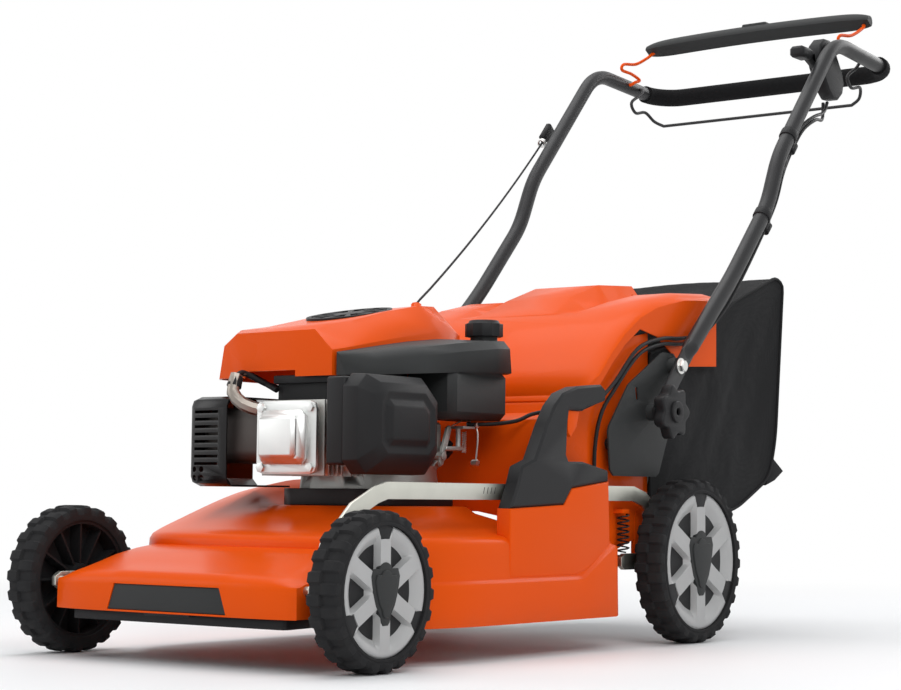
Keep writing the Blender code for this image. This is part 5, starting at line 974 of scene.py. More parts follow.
def bumper_mesh():
    """The nose in rows from side to side: up the front, round the brow and back over the top."""
    edge = BUMPER_HALF_WIDTH
    rows = []
    for k in range(57):
        x = -edge + 2 * edge * k / 56
        share = abs(x) / edge
        drop = 0.010 * share**6
        back = 0.012 * share**6
        shoulder = 0.010 * ease(share, 0.86, 1.0)
        rear = deck_front_y(x, LEDGE_STEP + 0.001) + 0.007
        front = BUMPER_FRONT_Y + back
        brow = 0.0022 * (1 - ease(share, 0.44, 0.52))
        rows.append(
            [
                at(x, front + 0.0008, BUMPER_BOTTOM_Z),
                at(x, front, BUMPER_BOTTOM_Z + 0.001),
                at(x, front, 0.099),
                at(x, front + 0.0002 - brow * 0.4, 0.1035),
                at(x, front + 0.0018 - brow * 0.3, 0.1085 - drop * 0.3),
                at(x, front + 0.0065, 0.1145 - drop * 0.6 - shoulder * 0.3 + brow),
                at(x, front + 0.0150, 0.1186 - drop * 0.6 - shoulder * 0.4 + brow * 0.5),
                at(x, BUMPER_FRONT_Y + 0.034 + back, 0.1228 - drop * 0.5 - shoulder * 0.4),
                at(x, BUMPER_FRONT_Y + 0.062 + back, 0.1305 - drop * 0.5 - shoulder * 0.4),
                at(x, BUMPER_FRONT_Y + 0.095 + back * 0.5, 0.1400 - drop * 0.6 - shoulder * 0.4),
                at(x, (rear + BUMPER_FRONT_Y + 0.095) / 2, 0.1462 - drop * 0.3 - shoulder * 0.3),
                at(x, rear, 0.1500 - shoulder * 0.2),
            ]
        )
    foot = BUMPER_BOTTOM_Z + 0.0005
    ends = []
    for side in (rows[0], rows[-1]):
        low = [Vector((p.x * 1.004, p.y, foot)) for p in side]
        near = [Vector((p.x * 1.003, p.y, max(p.z - 0.004, foot))) for p in side]
        ends.append([low, near])
    return mesh_of(grid(ends[0] + rows + ends[1][::-1]))


def riser_mesh():
    """The raised block on the deck's near side, below the link bar."""
    low = LEDGE_Z + 0.006
    outline = [
        (-0.0850, low),
        (-0.0850, 0.2035),
        (0.0480, 0.2090),
        (0.0680, 0.2320),
        (0.1640, 0.2430),
        (0.1680, low + 0.042),
        (0.1180, low + 0.010),
        (0.0800, low),
    ]
    return shifted(prism_mesh(outline, "X", 0.2385, 0.2625, 0.0025, 3))


def panel_outline(grow):
    """The dark panel in the nose, grown on all sides."""
    foot, top = PANEL_BOTTOM_HALF + grow, PANEL_TOP_HALF + grow
    low, high = PANEL_BOTTOM_Z - grow, PANEL_TOP_Z + grow
    return [(-foot, low), (foot, low), (top, high), (-top, high)]


def make_deck():
    """The deck's shell with its discharge opening, its nose with the dark panel, and the lip below."""
    hollow = opened(deck_mesh(), at(-0.195, 0.1035, 0.060), at(0.048, 0.260, 0.300))
    front_y = BUMPER_FRONT_Y
    panel_hole = shifted(prism_mesh(panel_outline(0.0006), "Y", front_y - 0.02, front_y + 0.02))
    nose = carved(thickened(bumper_mesh(), SHEET), [panel_hole])
    pieces = joined([thickened(hollow, SHEET), nose, riser_mesh()])
    place_piece("painted_deck", pieces, "paint", "chassis", ("deck_shell",), 42)
    panel = shifted(prism_mesh(panel_outline(0.0), "Y", front_y + 0.0012, front_y + 0.0040, 0.0006))
    place_piece("nose_panel", panel, "moulding", "chassis", ("bumper_panel",))
    dress("bumper_lip", "black", 0.0015)


# Grass bag


BAG_CORNERS = (
    # y, z and the rounding of each corner of the side panel, from the mouth's foot round the rear
    (0.3503, 0.2053, 0.0),
    (0.6100, 0.1970, 0.045),
    (0.7380, 0.2550, 0.030),
    (0.7620, 0.3200, 0.030),
    (0.7890, 0.5860, 0.010),
    (0.7640, 0.5975, 0.014),
    (0.6050, 0.5400, 0.030),
    (0.5550, 0.5030, 0.020),
    (0.3503, 0.4420, 0.0),
)
BAG_MIDDLE = (0.570, 0.370)


def even_line(points, count):
    """Points at even distances along a line."""
    lengths = [0.0]
    for a, b in zip(points, points[1:]):
        lengths.append(lengths[-1] + (b - a).length)
    line = []
    k = 0
    for i in range(count + 1):
        goal = lengths[-1] * i / count
        while k < len(points) - 2 and lengths[k + 1] < goal:
            k += 1
        span = max(lengths[k + 1] - lengths[k], 1e-9)
        line.append(points[k].lerp(points[k + 1], (goal - lengths[k]) / span))
    return line


def bag_seam():
    """The side panel's edge from the mouth's foot, under and behind the bag, to the top of the mouth."""
    points = [Vector(BAG_CORNERS[0][:2])]
    for before, corner, after in zip(BAG_CORNERS, BAG_CORNERS[1:], BAG_CORNERS[2:]):
        points += turned(before[:2], corner[:2], after[:2], corner[2], 6)
    return even_line(points + [Vector(BAG_CORNERS[-1][:2])], 120)


def creases(place, size):
    """Soft folds: broad hollows with finer puckers across them."""
    broad = noise.noise(Vector((place.x * 7, place.y * 9, place.z * 5)))
    along = Vector((place.x * 16, (place.y - 0.6 * place.z) * 26, place.z * 6))
    slanted = noise.noise(along + Vector((3, 7, 1)))
    fine = noise.noise(place * 60)
    return size * (0.8 * broad + 0.5 * slanted + 0.14 * fine)


def bag_mesh(slack):
    """The bag's strip of cloth round its seams and both side panels, which hang in and crease."""
    seam = bag_seam()
    count = len(seam) - 1
    across = 44
    inward_steps = 23
    bm = bmesh.new()
    half = BAG_HALF_WIDTH
    rows = []
    for i, point in enumerate(seam):
        before, after = seam[max(i - 1, 0)], seam[min(i + 1, count)]
        along = (after - before).normalized()
        normal = Vector((0, along.y, -along.x))
        held = ease(i / count, 0.0, 0.06) * (1 - ease(i / count, 0.94, 1.0))
        corner = min((point - Vector(c[:2])).length for c in BAG_CORNERS)
        row = []
        for k in range(across + 1):
            x = -half + 2 * half * k / across
            share = 1 - abs(x / half) ** 6
            place = Vector((x, point.x, point.y))
            hang = slack * (0.25 + 0.75 * ease(corner, 0.0, 0.06)) * (1 - (x / half) ** 2) * 0.8
            move = (creases(place, 0.0045) - hang) * share * held
            row.append(bm.verts.new(at(*(place + normal * min(move, BAG_STAND_OUT)))))
        rows.append(row)
    for lower, upper in zip(rows, rows[1:]):
        for k in range(across):
            bm.faces.new((lower[k], lower[k + 1], upper[k + 1], upper[k]))
    mouth = even_line([seam[-1], seam[0]], 24)[1:-1]
    loop = seam + mouth
    middle = Vector(BAG_MIDDLE)
    for side in (1, -1):
        rings = []
        for j in range(inward_steps):
            inward = 1 - j / inward_steps
            ring = []
            for point in loop:
                flat = middle + (point - middle) * inward
                place = Vector((side * half, flat.x, flat.y))
                move = creases(place, 0.0050) * (1 - inward**5) - slack * 1.1 * (1 - inward**2)
                ring.append(bm.verts.new(at(side * half + side * min(move, BAG_STAND_OUT), flat.x, flat.y)))
            rings.append(ring)
        for outer, inner in zip(rings, rings[1:]):
            for k in range(len(loop)):
                following = (k + 1) % len(loop)
                bm.faces.new((outer[k], outer[following], inner[following], inner[k]))
        bm.faces.new(rings[-1])
    return mesh_of(bm, 1e-5)


def make_bag(sizes):
    """The cloth, with piping on its seams, a hem round its mouth and a folded tab at each rear corner."""
    skin = bag_mesh(sizes.bag_slack)
    cloth = thickened(skin, CLOTH)
    bag = place_piece("bag_cloth", cloth, "cloth", "chassis", ("grass_bag",), 60)
    seam = bag_seam()
    for hand, side in HANDS:
        line = [at(side * (BAG_HALF_WIDTH + 0.0006), p.x, p.y) for p in seam]
        welt = wire_mesh(line, sizes.piping, 3)
        place_piece(f"bag_piping_{hand}", welt, "rubber", "chassis", ())
    top, foot = seam[-1], seam[0]
    corners = [(side * BAG_HALF_WIDTH, z) for side, z in ((1, foot.y), (1, top.y), (-1, top.y), (-1, foot.y))]
    ring = [at(x, BAG_FRONT_Y + 0.003, z) for x, z in corners]
    hem = wire_mesh(ring, sizes.piping, 3, cyclic=True)
    place_piece("bag_mouth_hem", hem, "rubber", "chassis", ())
    corner = [(0.728, 0.243), (0.7525, 0.2900), (0.7905, 0.2680), (0.7600, 0.2520)]
    for hand, side in HANDS:
        low, high = sorted((side * (BAG_HALF_WIDTH - 0.030), side * (BAG_HALF_WIDTH + 0.0004)))
        fold = shifted(prism_mesh(corner, "X", low, high, 0.0006))
        place_piece(f"bag_corner_{hand}", fold, "cloth", "chassis", (), 40)
    round(run_of(seam), 3)


# Handle


def leg_line(side):
    """The middle line of one leg from its strap to the crossbar's corner."""
    start = Vector(BOLT) + (Vector(KINKS[0]) - Vector(BOLT)).normalized() * LEG_START
    corners = [start, *(Vector(k) for k in KINKS), Vector(BEND), Vector(CROSSBAR)]
    points = [start]
    for k in range(1, len(corners) - 1):
        cut, steps = (BEND_CUT, 14) if k == 4 else (KINK_CUT, 6)
        points += turned(corners[k - 1], corners[k], corners[k + 1], cut, steps)
    return [at(side * HANDLE_X, p.x, p.y) for p in points]


def crossbar_turn(side):
    """The round corner between one leg and the crossbar."""
    slope = (CROSSBAR[1] - BEND[1]) / (CROSSBAR[0] - BEND[0])
    points = []
    for angle in (math.pi / 2 * k / 14 for k in range(15)):
        y = CROSSBAR[0] - CORNER_RADIUS * (1 - math.sin(angle))
        x = HANDLE_X - CORNER_RADIUS * (1 - math.cos(angle))
        points.append(at(side * x, y, CROSSBAR[1] + slope * (y - CROSSBAR[0])))
    return points


def along_leg(distance, offset, x):
    """A point so far up the near leg from its bolt, and so far behind the tube's middle."""
    stops = [Vector(BOLT), *(Vector(k) for k in KINKS), Vector(BEND)]
    for a, b in zip(stops, stops[1:]):
        span = (b - a).length
        if distance <= span or b == stops[-1]:
            along = (b - a).normalized()
            place = a + along * distance + Vector((along.y, -along.x)) * offset
            return (x, place.x, place.y)
        distance -= span
    return None


def strap_mesh(side):
    """The flattened foot of a leg, with the slot for the knob's stud."""
    direction = (Vector(KINKS[0]) - Vector(BOLT)).normalized()
    across = Vector((-direction.y, direction.x))
    top = Vector(BOLT) + direction * STRAP_REACH
    low, high = sorted((side * (HANDLE_X - STRAP_HALF_THICKNESS), side * (HANDLE_X + STRAP_HALF_THICKNESS)))
    plate = prism_mesh(strip(KNOB, top, STRAP_HALF_WIDTH, 12), "X", low, high, 0.0006)
    slot_end = Vector(KNOB) + across * 0.040 + direction * 0.0044
    slot = prism_mesh(strip(KNOB, slot_end, 0.0056, 10), "X", low - 0.01, high + 0.01)
    plate = carved(plate, [slot])
    rings = []
    for share in (k / 8 for k in range(9)):
        middle = Vector(BOLT) + direction * (0.022 + 0.026 * share)
        wide = STRAP_HALF_WIDTH + (TUBE_RADIUS - STRAP_HALF_WIDTH) * ease(share, 0, 1)
        thick = STRAP_HALF_THICKNESS + (TUBE_RADIUS - STRAP_HALF_THICKNESS) * ease(share, 0, 1)
        ring = []
        for angle in (2 * math.pi * i / 28 for i in range(28)):
            place = middle + across * wide * math.sin(angle)
            ring.append(Vector((side * HANDLE_X + thick * math.cos(angle), place.x, place.y)))
        rings.append(ring)
    return shifted(joined([plate, mesh_of(grid(rings, closed=True, caps=True))]))


def both_sides(half):
    """A smooth line that runs on to the mirror image of its first half."""
    line = smooth_line(half, 6)
    return [at(*p) for p in line] + [at(-x, y, z) for x, y, z in reversed(line)]


def brake_bail_line():
    """The wire from its pivot in the near leg, in two small bends, up to the grip and back down."""
    x = BAIL_X
    y, z = BRAKE_PIVOT
    grip_y, grip_z = BRAKE_GRIP
    half = [
        (BAIL_TIP_X, y, z),
        (x + 0.002, y, z + 0.001),
        (x, y + 0.008, z + 0.006),
        (x, y + 0.024, z + 0.013),
        (x, y - 0.006, z + 0.020),
        (x, y - 0.040, z + 0.022),
        (x, y - 0.034, z + 0.034),
        (x, y + 0.010, z + 0.042),
        (x, y + 0.050, z + 0.060),
        (x - 0.002, grip_y - 0.006, grip_z - 0.006),
        (x - 0.016, grip_y, grip_z + 0.002),
    ]
    return both_sides(half)


def drive_bail_line():
    """The wire from its pivot in the near leg, in one bend, down to its run below the crossbar and back."""
    x = BAIL_X
    y, z = DRIVE_PIVOT
    run_y, run_z = DRIVE_RUN
    half = [
        (BAIL_TIP_X, y, z),
        (BAIL_TIP_X - 0.003, y, z),
        (x + 0.002, y - 0.001, z - 0.002),
        (x, y - 0.010, z - 0.012),
        (x, y - 0.045, z - 0.033),
        (x, y - 0.030, z - 0.051),
        (x, y + 0.006, z - 0.045),
        (x - 0.010, run_y - 0.006, run_z + 0.010),
        (x - 0.028, run_y, run_z),
    ]
    return both_sides(half)


def brake_grip_mesh():
    """The moulding round the brake bail's top run, with rounded ends and a plain raised pad."""
    grip_y, grip_z = BRAKE_GRIP
    angles = [math.radians(-55 + 230 * k / 21) for k in range(22)]
    rows = []
    for share in (-1 + k / 30 for k in range(61)):
        rise = BRAKE_GRIP_CROWN * (1 - share**2)
        middle = Vector((BRAKE_GRIP_HALF * share, grip_y - 0.004, grip_z + rise * 0.4 + 0.001))
        reach = BRAKE_GRIP_RADIUS * (1.0 - 0.40 * abs(share) ** 12)
        rows.append([middle + Vector((0, reach * math.cos(a), reach * math.sin(a))) for a in angles])
    channel = shifted(mesh_of(grid(rows, closed=True, caps=True)))
    low, high = at(-0.026, grip_y - 0.011, grip_z + 0.016), at(0.026, grip_y + 0.009, grip_z + 0.0272)
    return joined([channel, box_mesh(low, high, 0.004, 3)])


def make_handle():
    """The bent tube, the foam on its crossbar, and both bails."""
    near, far = crossbar_turn(1), crossbar_turn(-1)[::-1]
    tube = wire_mesh(leg_line(1) + near[1:] + far + leg_line(-1)[::-1][1:], TUBE_RADIUS, 7)
    bar = joined([tube, strap_mesh(1), strap_mesh(-1)])
    place_piece("handle_tube", bar, "enamel", "handle", ("handlebar",), 42)
    sleeve = softened(wire_mesh(near + far, GRIP_RADIUS, 7), 0.0022, 60)
    place_piece("foam_sleeve", sleeve, "foam", "handle", ("foam_grip",), 50)
    body = "brake_bail_body"
    brake = wire_mesh(brake_bail_line(), BAIL_RADIUS, 4)
    place_piece("brake_wire", brake, "orange_plastic", body, ("brake_bail",))
    grip = brake_grip_mesh()
    place_piece("brake_channel", grip, "moulding", body, ("brake_bail_grip",), 35)
    drive = wire_mesh(drive_bail_line(), BAIL_RADIUS, 4)
    place_piece("drive_wire", drive, "enamel", "drive_bail_body", ("drive_bail",))


def make_knobs():
    """The star knobs, each with a boss that is hollow round its stud."""
    lobes = []
    for angle in (2 * math.pi * k / 140 for k in range(140)):
        reach = KNOB_RADIUS * (0.895 + 0.105 * math.cos(KNOB_LOBES * angle))
        lobes.append((KNOB[0] + reach * math.cos(angle), KNOB[1] + reach * math.sin(angle)))
    for hand, side in HANDS:
        low, high = sorted((side * KNOB_INNER_X, side * (KNOB_OUTER_X - 0.004)))
        star = prism_mesh(lobes, "X", low, high, 0.0035, 3)
        low, high = sorted((side * (HANDLE_X + 0.003), side * KNOB_OUTER_X))
        stud_hole = circle(KNOB, 0.0055, 20)[::-1]
        boss = prism_mesh(circle(KNOB, 0.0165, 40), "X", low, high, 0.0018, 3, [stud_hole])
        shape = shifted(joined([star, boss]))
        knob = f"knob_{hand}"
        place_piece(f"star_{knob}", shape, "black", f"{knob}_body", (knob,), 40)


# Cables and rope


def cable_lines():
    """The engine cable and the drive cable, from the control housing down the near leg to their ends."""
    offset = TUBE_RADIUS + CABLE_RADIUS + 0.0015
    near = HANDLE_X - 0.004
    top = (HANDLE_X - TUBE_RADIUS - 0.013, LEVER[0] - 0.010, LEVER[1] - 0.0315 - CABLE_RADIUS)
    slot_x = CABLE_SLOT_X
    beside = (
        (0.66, 0.026),
        (0.615, 0.008),
        (0.57, 0.003),
        (0.52, 0.0048),
        (0.48, 0.0048),
        (0.42, 0.002),
        (0.32, 0.001),
        (0.22, 0.0015),
    )
    engine = [top, (top[0] + 0.004, top[1] - 0.023, top[2] - 0.022)]
    engine += [along_leg(d, offset + more, near + 0.001) for d, more in beside]
    engine += [
        along_leg(0.16, offset + 0.004, near - 0.003),
        (0.2330, 0.4650, 0.4790),
        (slot_x, 0.4250, 0.4700),
        (slot_x, 0.3700, 0.4660),
        (slot_x, 0.3000, 0.4460),
        (slot_x, 0.2350, 0.3920),
        (slot_x, 0.1900, 0.3640),
        (slot_x, 0.1620, 0.3540),
        (0.2250, 0.1430, 0.3490),
        (0.2140, 0.1260, 0.3480),
        (0.1990, 0.1080, 0.3450),
        (0.1800, 0.0850, 0.3390),
        (0.1660, 0.0660, 0.3290),
        (0.1480, 0.0320, 0.3235),
        (0.1240, 0.0020, 0.3226),
    ]
    drive = [(top[0] - 0.008, top[1], top[2]), (top[0] - 0.003, top[1] - 0.014, top[2] - 0.032)]
    drive += [along_leg(d, offset + 0.0075 + more, near + 0.001) for d, more in beside]
    drive += [
        along_leg(0.16, offset + 0.0115, near - 0.003),
        (0.2330, 0.4680, 0.4700),
        (slot_x, 0.4250, 0.4610),
        (slot_x, 0.3680, 0.4570),
        (slot_x, 0.3020, 0.4370),
        (slot_x, 0.2350, 0.3820),
        (slot_x - 0.003, 0.2000, 0.3400),
        (0.2205, 0.1900, 0.2800),
        (0.2205, 0.1960, 0.2000),
        (0.2205, 0.2110, 0.1420),
        (0.2120, 0.2200, 0.1130),
        (0.1850, 0.2360, 0.1040),
        (0.1700, 0.2600, 0.1100),
        (0.1600, 0.2620, 0.1130),
        (GEARBOX_X + 0.0250, 0.2620, 0.1130),
        (GEARBOX_X + 0.0224, 0.2620, 0.1130),
    ]
    return engine, drive


def place_cord(name, line, radius, finish, node, start, end):
    """A cord that runs from the chassis to the handle."""
    obj = smooth_piece(name, wire_mesh(line, radius, 4), finish)
    at(*start)
    at(*end)
    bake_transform(obj)
    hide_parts(node)
    length = round(run_of(line), 4)


def starter_frame():
    """The starter rope's exit from the engine, its pull, and two directions across it at the guide."""
    guide = Vector(GUIDE)
    run = Vector(EYELET_MOUTH) - Vector(EYELET_FOOT)
    leave = Vector(EYELET_MOUTH) + run * 0.1
    pull = (guide - leave).normalized()
    leg = Vector((0, *(Vector(BEND) - Vector(KINKS[2])).normalized()))
    to_axis = Vector((-HANDLE_X, *KINKS[2])) - guide
    to_axis -= leg * to_axis.dot(leg)
    towards = (to_axis - pull * to_axis.dot(pull)).normalized()
    return leave, pull, leg, towards


def make_rope_end(guide, pull):
    """The rope between its guide and the grip."""
    line = [at(*(guide + pull * (-0.004 + 0.022 * k / 22))) for k in range(23)]
    obj = smooth_piece("starter_line_end", wire_mesh(line, ROPE_RADIUS, 4), "rubber")
    at(*guide)
    at(*(guide + pull * 0.012))
    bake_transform(obj)
    return obj


def make_cords():
    """The two cables, the starter rope, and the wire coil that guides it."""
    for name, line in zip(("engine_cable", "drive_cable"), cable_lines()):
        path = [at(*p) for p in smooth_line(line, 5)]
        words = {"stiffness": "stiff", "lay": "hanging"}
        place_cord(f"{name}_sleeve", path, CABLE_RADIUS, "black", name, FOLD_START, FOLD_END)
    leave, pull, leg, towards = starter_frame()
    guide = Vector(GUIDE)
    end = guide + pull * 0.0130
    sag = Vector((0, 0, -ROPE_SAG))
    line = [Vector(EYELET_FOOT) + (Vector(EYELET_MOUTH) - Vector(EYELET_FOOT)) * 0.3]
    line += [leave.lerp(end, k / 12) + sag * (1 - (k / 6 - 1) ** 2) for k in range(13)]
    path = [at(*p) for p in smooth_line(line, 3)]
    words = {"stiffness": "limp", "lay": "taut", "with_pieces": [make_rope_end(guide, pull)]}
    place_cord("starter_line", path, ROPE_RADIUS, "rubber", "starter_rope", leave, guide)
    make_guide_coil(guide, pull, leg, towards)


def make_guide_coil(guide, pull, leg, towards):
    """The open wire coil round the rope, whose foot runs into the far leg."""
    sideways = pull.cross(towards)
    coil = []
    for k in range(73):
        angle = 2 * math.pi * GUIDE_TURNS * (k - 72) / 72
        ring = towards * math.cos(angle) + sideways * math.sin(angle)
        coil.append(at(*(guide + ring * GUIDE_RADIUS + pull * (GUIDE_LENGTH * k / 72))))
    foot = guide + pull * GUIDE_LENGTH
    away = foot - Vector((-HANDLE_X, *KINKS[2]))
    away -= leg * away.dot(leg)
    aim = towards - leg * towards.dot(leg)
    half_b = away.dot(aim)
    spare = away.dot(away) - (TUBE_RADIUS - 0.001) ** 2
    reach = (-half_b - math.sqrt(half_b**2 - aim.dot(aim) * spare)) / aim.dot(aim)
    coil.append(at(*(foot + towards * reach)))
    wire = wire_mesh(coil, GUIDE_WIRE, 3)
    place_piece("guide_coil", wire, "steel", "handle", ("rope_guide",))


def make_clips():
    """Two clips that hold the cables to the near leg, and the adjuster between them."""
    near = HANDLE_X - 0.003
    shapes = []
    for distance in (0.380, 0.556):
        for half, radius, behind, x in (
            (0.008, TUBE_RADIUS + 0.0022, 0.0, HANDLE_X),
            (0.010, 0.0062, 0.0205, near),
            (0.010, 0.0062, 0.0290, near),
        ):
            low, high = (at(*along_leg(distance + end, behind, x)) for end in (-half, half))
            shapes.append(bar_mesh(low, high, radius, 28, bevel=0.0012))
    place_piece("cable_clips", joined(shapes), "black", "handle", (), 40)
    barrel = []
    for *ends, radius in ((0.462, 0.532, 0.0044), (0.474, 0.494, 0.0064), (0.501, 0.520, 0.0060)):
        low, high = (at(*along_leg(end, TUBE_RADIUS + 0.0093, near)) for end in ends)
        barrel.append(bar_mesh(low, high, radius, 14, bevel=0.0006))
    place_piece("cable_adjuster", joined(barrel), "black", "handle", (), 30)


# Engine and linkage


def hex_head(centre, radius, low, high):
    """A bolt's head with its crown and washer, towards +X."""
    head = prism_mesh(circle(centre, radius, 6), "X", low, high - 0.0012, 0.0006)
    crown = prism_mesh(circle(centre, radius * 0.82, 24), "X", low, high, 0.0008)
    washer = prism_mesh(circle(centre, radius * 1.28, 28), "X", low - 0.0004, low + 0.0014, 0.0004)
    return joined([head, crown, washer])


def make_fasteners():
    """Bright bolts at the handle's pivots, and plain marks on the height bar."""
    for hand, side in HANDS:
        head = hex_head(BOLT, 0.0098, HANDLE_X + STRAP_HALF_THICKNESS + 0.0004, HANDLE_X + 0.0112)
        bolt = shifted(set_on(head, Matrix.Scale(side, 4, (1, 0, 0))))
        place_piece(f"pivot_bolt_{hand}", bolt, "steel", "chassis", (), 30)
    outer_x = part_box("height_link")[1][0]
    marks = []
    for y in (-0.112 + 0.0085 * k for k in range(4)):
        marks.append(wire_mesh([at(outer_x, y, 0.2235), at(outer_x, y + 0.0026, 0.2320)], 0.0005, 2))
    place_piece("height_marks", joined(marks), "black", "height_link_body", ())


def make_shroud():
    """The black cooling duct between the cylinder and the cover, and the plug's lead."""
    outline = [(-0.198, 0.346), (-0.198, 0.3860), (-0.060, 0.3980), (-0.060, 0.346)]
    duct = shifted(prism_mesh(outline, "X", -0.060, 0.0640, 0.002))
    lip = box_mesh(at(-0.062, -0.206, 0.3745), at(0.060, -0.196, 0.3862), 0.002)
    strut = wire_mesh([at(-0.060, -0.200, 0.366), at(-0.112, -0.196, 0.3885)], 0.0042, 3)
    place_piece("cooling_duct", joined([duct, lip, strut]), "black", "chassis", ())
    lead = [
        (-0.1000, -0.241, 0.3840),
        (-0.0995, -0.233, 0.3890),
        (-0.0980, -0.222, 0.3885),
        (-0.0800, -0.196, 0.3740),
        (-0.0600, -0.170, 0.3660),
    ]
    path = [at(*p) for p in smooth_line(lead, 5)]
    place_piece("plug_lead", wire_mesh(path, 0.0041, 4), "black", "chassis", ())
    collar = bar_mesh(at(-0.100, -0.246, 0.3690), at(-0.100, -0.240, 0.3845), 0.0108, 20, 0.0092, 0.0010)
    place_piece("plug_collar", collar, "black", "chassis", ())


def make_linkage():
    """Throttle and governor rods, their spring, and the blue mark on the throttle cable."""
    (_, _, foot), (x, y, z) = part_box("carburettor")
    throttle = [
        (x - 0.010, y - 0.004, z - 0.004),
        (x - 0.004, y + 0.004, z - 0.002),
        (x + 0.001, y + 0.006, z - 0.018),
        (x - 0.001, y + 0.004, foot + 0.004),
    ]
    governor = [
        (x - 0.034, y - 0.010, z - 0.004),
        (x - 0.018, y - 0.004, z + 0.004),
        (x - 0.006, y - 0.002, z + 0.002),
    ]
    coil = []
    coil_radius = 0.0030
    for k in range(97):
        angle = 2 * math.pi * k / 8
        across, aside = coil_radius * math.cos(angle), coil_radius * math.sin(angle)
        coil.append(Vector((x - 0.020 + across, y + 0.002 + aside, z - 0.012 - 0.030 * (k / 96))))
    rods = [
        wire_mesh(smooth_line(throttle, 6), 0.0014, 3),
        wire_mesh(smooth_line(governor, 6), 0.0011, 3),
        bar_mesh((x - 0.006, y + 0.003, foot + 0.006), (x + 0.004, y + 0.003, foot + 0.006), 0.0048, 6),
        bar_mesh((x - 0.008, y + 0.004, z - 0.003), (x + 0.002, y + 0.004, z - 0.003), 0.0042, 6),
        wire_mesh(coil, 0.0006, 2),
    ]
    place_piece("throttle_rods", joined(rods), "steel", "chassis", (), 30)
    sleeve = [at(0.2035, 0.1125, 0.3462), at(0.1985, 0.1075, 0.3449)]
    place_piece("cable_mark", wire_mesh(sleeve, 0.0034, 4), "blue", "chassis", ())


def make_filter():
    """The air filter's cover: a flange, then a face that steps out inside a sloped border."""
    bm = bmesh.new()
    bm.from_mesh(clean_copy("air_filter_cover"))
    bm.faces.ensure_lookup_table()
    outer = max((f for f in bm.faces if f.normal.x > 0.9), key=lambda f: f.calc_area())
    for thickness, depth in ((0.0060, -0.0016), (0.0045, 0.0), (0.0080, 0.0050), (0.0030, 0.0006)):
        bmesh.ops.inset_region(bm, faces=[outer], thickness=thickness, depth=depth, use_even_offset=True)
    cover = softened(plain_mesh(bm), 0.0012, 20)
    place_piece("filter_cover", cover, "black", "chassis", ("air_filter_cover",), 30)


def make_guard():
    """The exhaust guard with its round holes below the slots."""
    corner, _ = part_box("muffler_guard")
    through = Vector((0, 0.02, 0))
    tools = []
    for row in range(2):
        for column in range(2):
            place = Vector((corner[0] + 0.014 + 0.014 * column, corner[1], corner[2] + 0.012 + 0.012 * row))
            tools.append(bar_mesh(place - through, place + through, 0.0042, 16))
    guard = softened(carved(clean_copy("muffler_guard"), tools), 0.0006, 32)
    place_piece("exhaust_guard", guard, "gloss_black", "chassis", ("muffler_guard",), 38)


# Stage and camera


def make_camera():
    """The camera at the photograph's angle, height, distance and roll."""
    azimuth, elevation, roll = (math.radians(a) for a in (CAMERA_AZIMUTH, CAMERA_ELEVATION, CAMERA_ROLL))
    level = math.cos(elevation)
    back = Vector((math.sin(azimuth) * level, -math.cos(azimuth) * level, math.sin(elevation)))
    right = Vector((math.cos(azimuth), math.sin(azimuth), 0))
    up = back.cross(right)
    turned_right = right * math.cos(roll) + up * math.sin(roll)
    turned_up = up * math.cos(roll) - right * math.sin(roll)
    place = Vector((0, 0, CAMERA_TARGET_Z + CAMERA_AIM[1])) + right * CAMERA_AIM[0] + back * CAMERA_DISTANCE
    place.y += AXLE_MIDDLE_Y
    matrix = Matrix((turned_right, turned_up, back)).transposed().to_4x4()
    matrix.translation = place
    data = bpy.data.cameras.new("camera")
    data.sensor_width = SENSOR
    data.lens = FOCAL_PIXELS / PHOTO_WIDTH * SENSOR
    data.clip_end = 60
    camera = bpy.data.objects.new("camera", data)
    camera.matrix_world = matrix
    bpy.context.scene.collection.objects.link(camera)
    bpy.context.scene.camera = camera


def soft_light(name, place, aim, size, power):
    """A rectangular lamp that looks at a point."""
    data = bpy.data.lights.new(name, "AREA")
    data.shape = "RECTANGLE"
    data.size, data.size_y = size
    data.energy = power
    lamp = bpy.data.objects.new(name, data)
    lamp.location = place
    lamp.rotation_euler = (Vector(aim) - Vector(place)).to_track_quat("-Z", "Y").to_euler()
    bpy.context.scene.collection.objects.link(lamp)


def make_backdrop(scene):
    """Plain light on the object, and white where the camera, a mirror or glass looks past it."""
    scene.world = bpy.data.worlds.new("studio")
    scene.world.use_nodes = True
    tree = scene.world.node_tree
    tree.nodes.clear()
    sky = Nodes(tree)
    light = sky.node("ShaderNodeBackground", {}, {"Color": (0.92, 0.95, 1.0, 1), "Strength": 0.42})
    white = sky.node("ShaderNodeBackground", {}, {"Color": WHITE, "Strength": 1.0})
    seen = sky.rays("Camera", "Glossy", "Transmission")
    mixed = sky.node("ShaderNodeMixShader", {}, {0: seen, 1: light, 2: white})
    sky.feed(tree.nodes.new("ShaderNodeOutputWorld").inputs["Surface"], mixed)


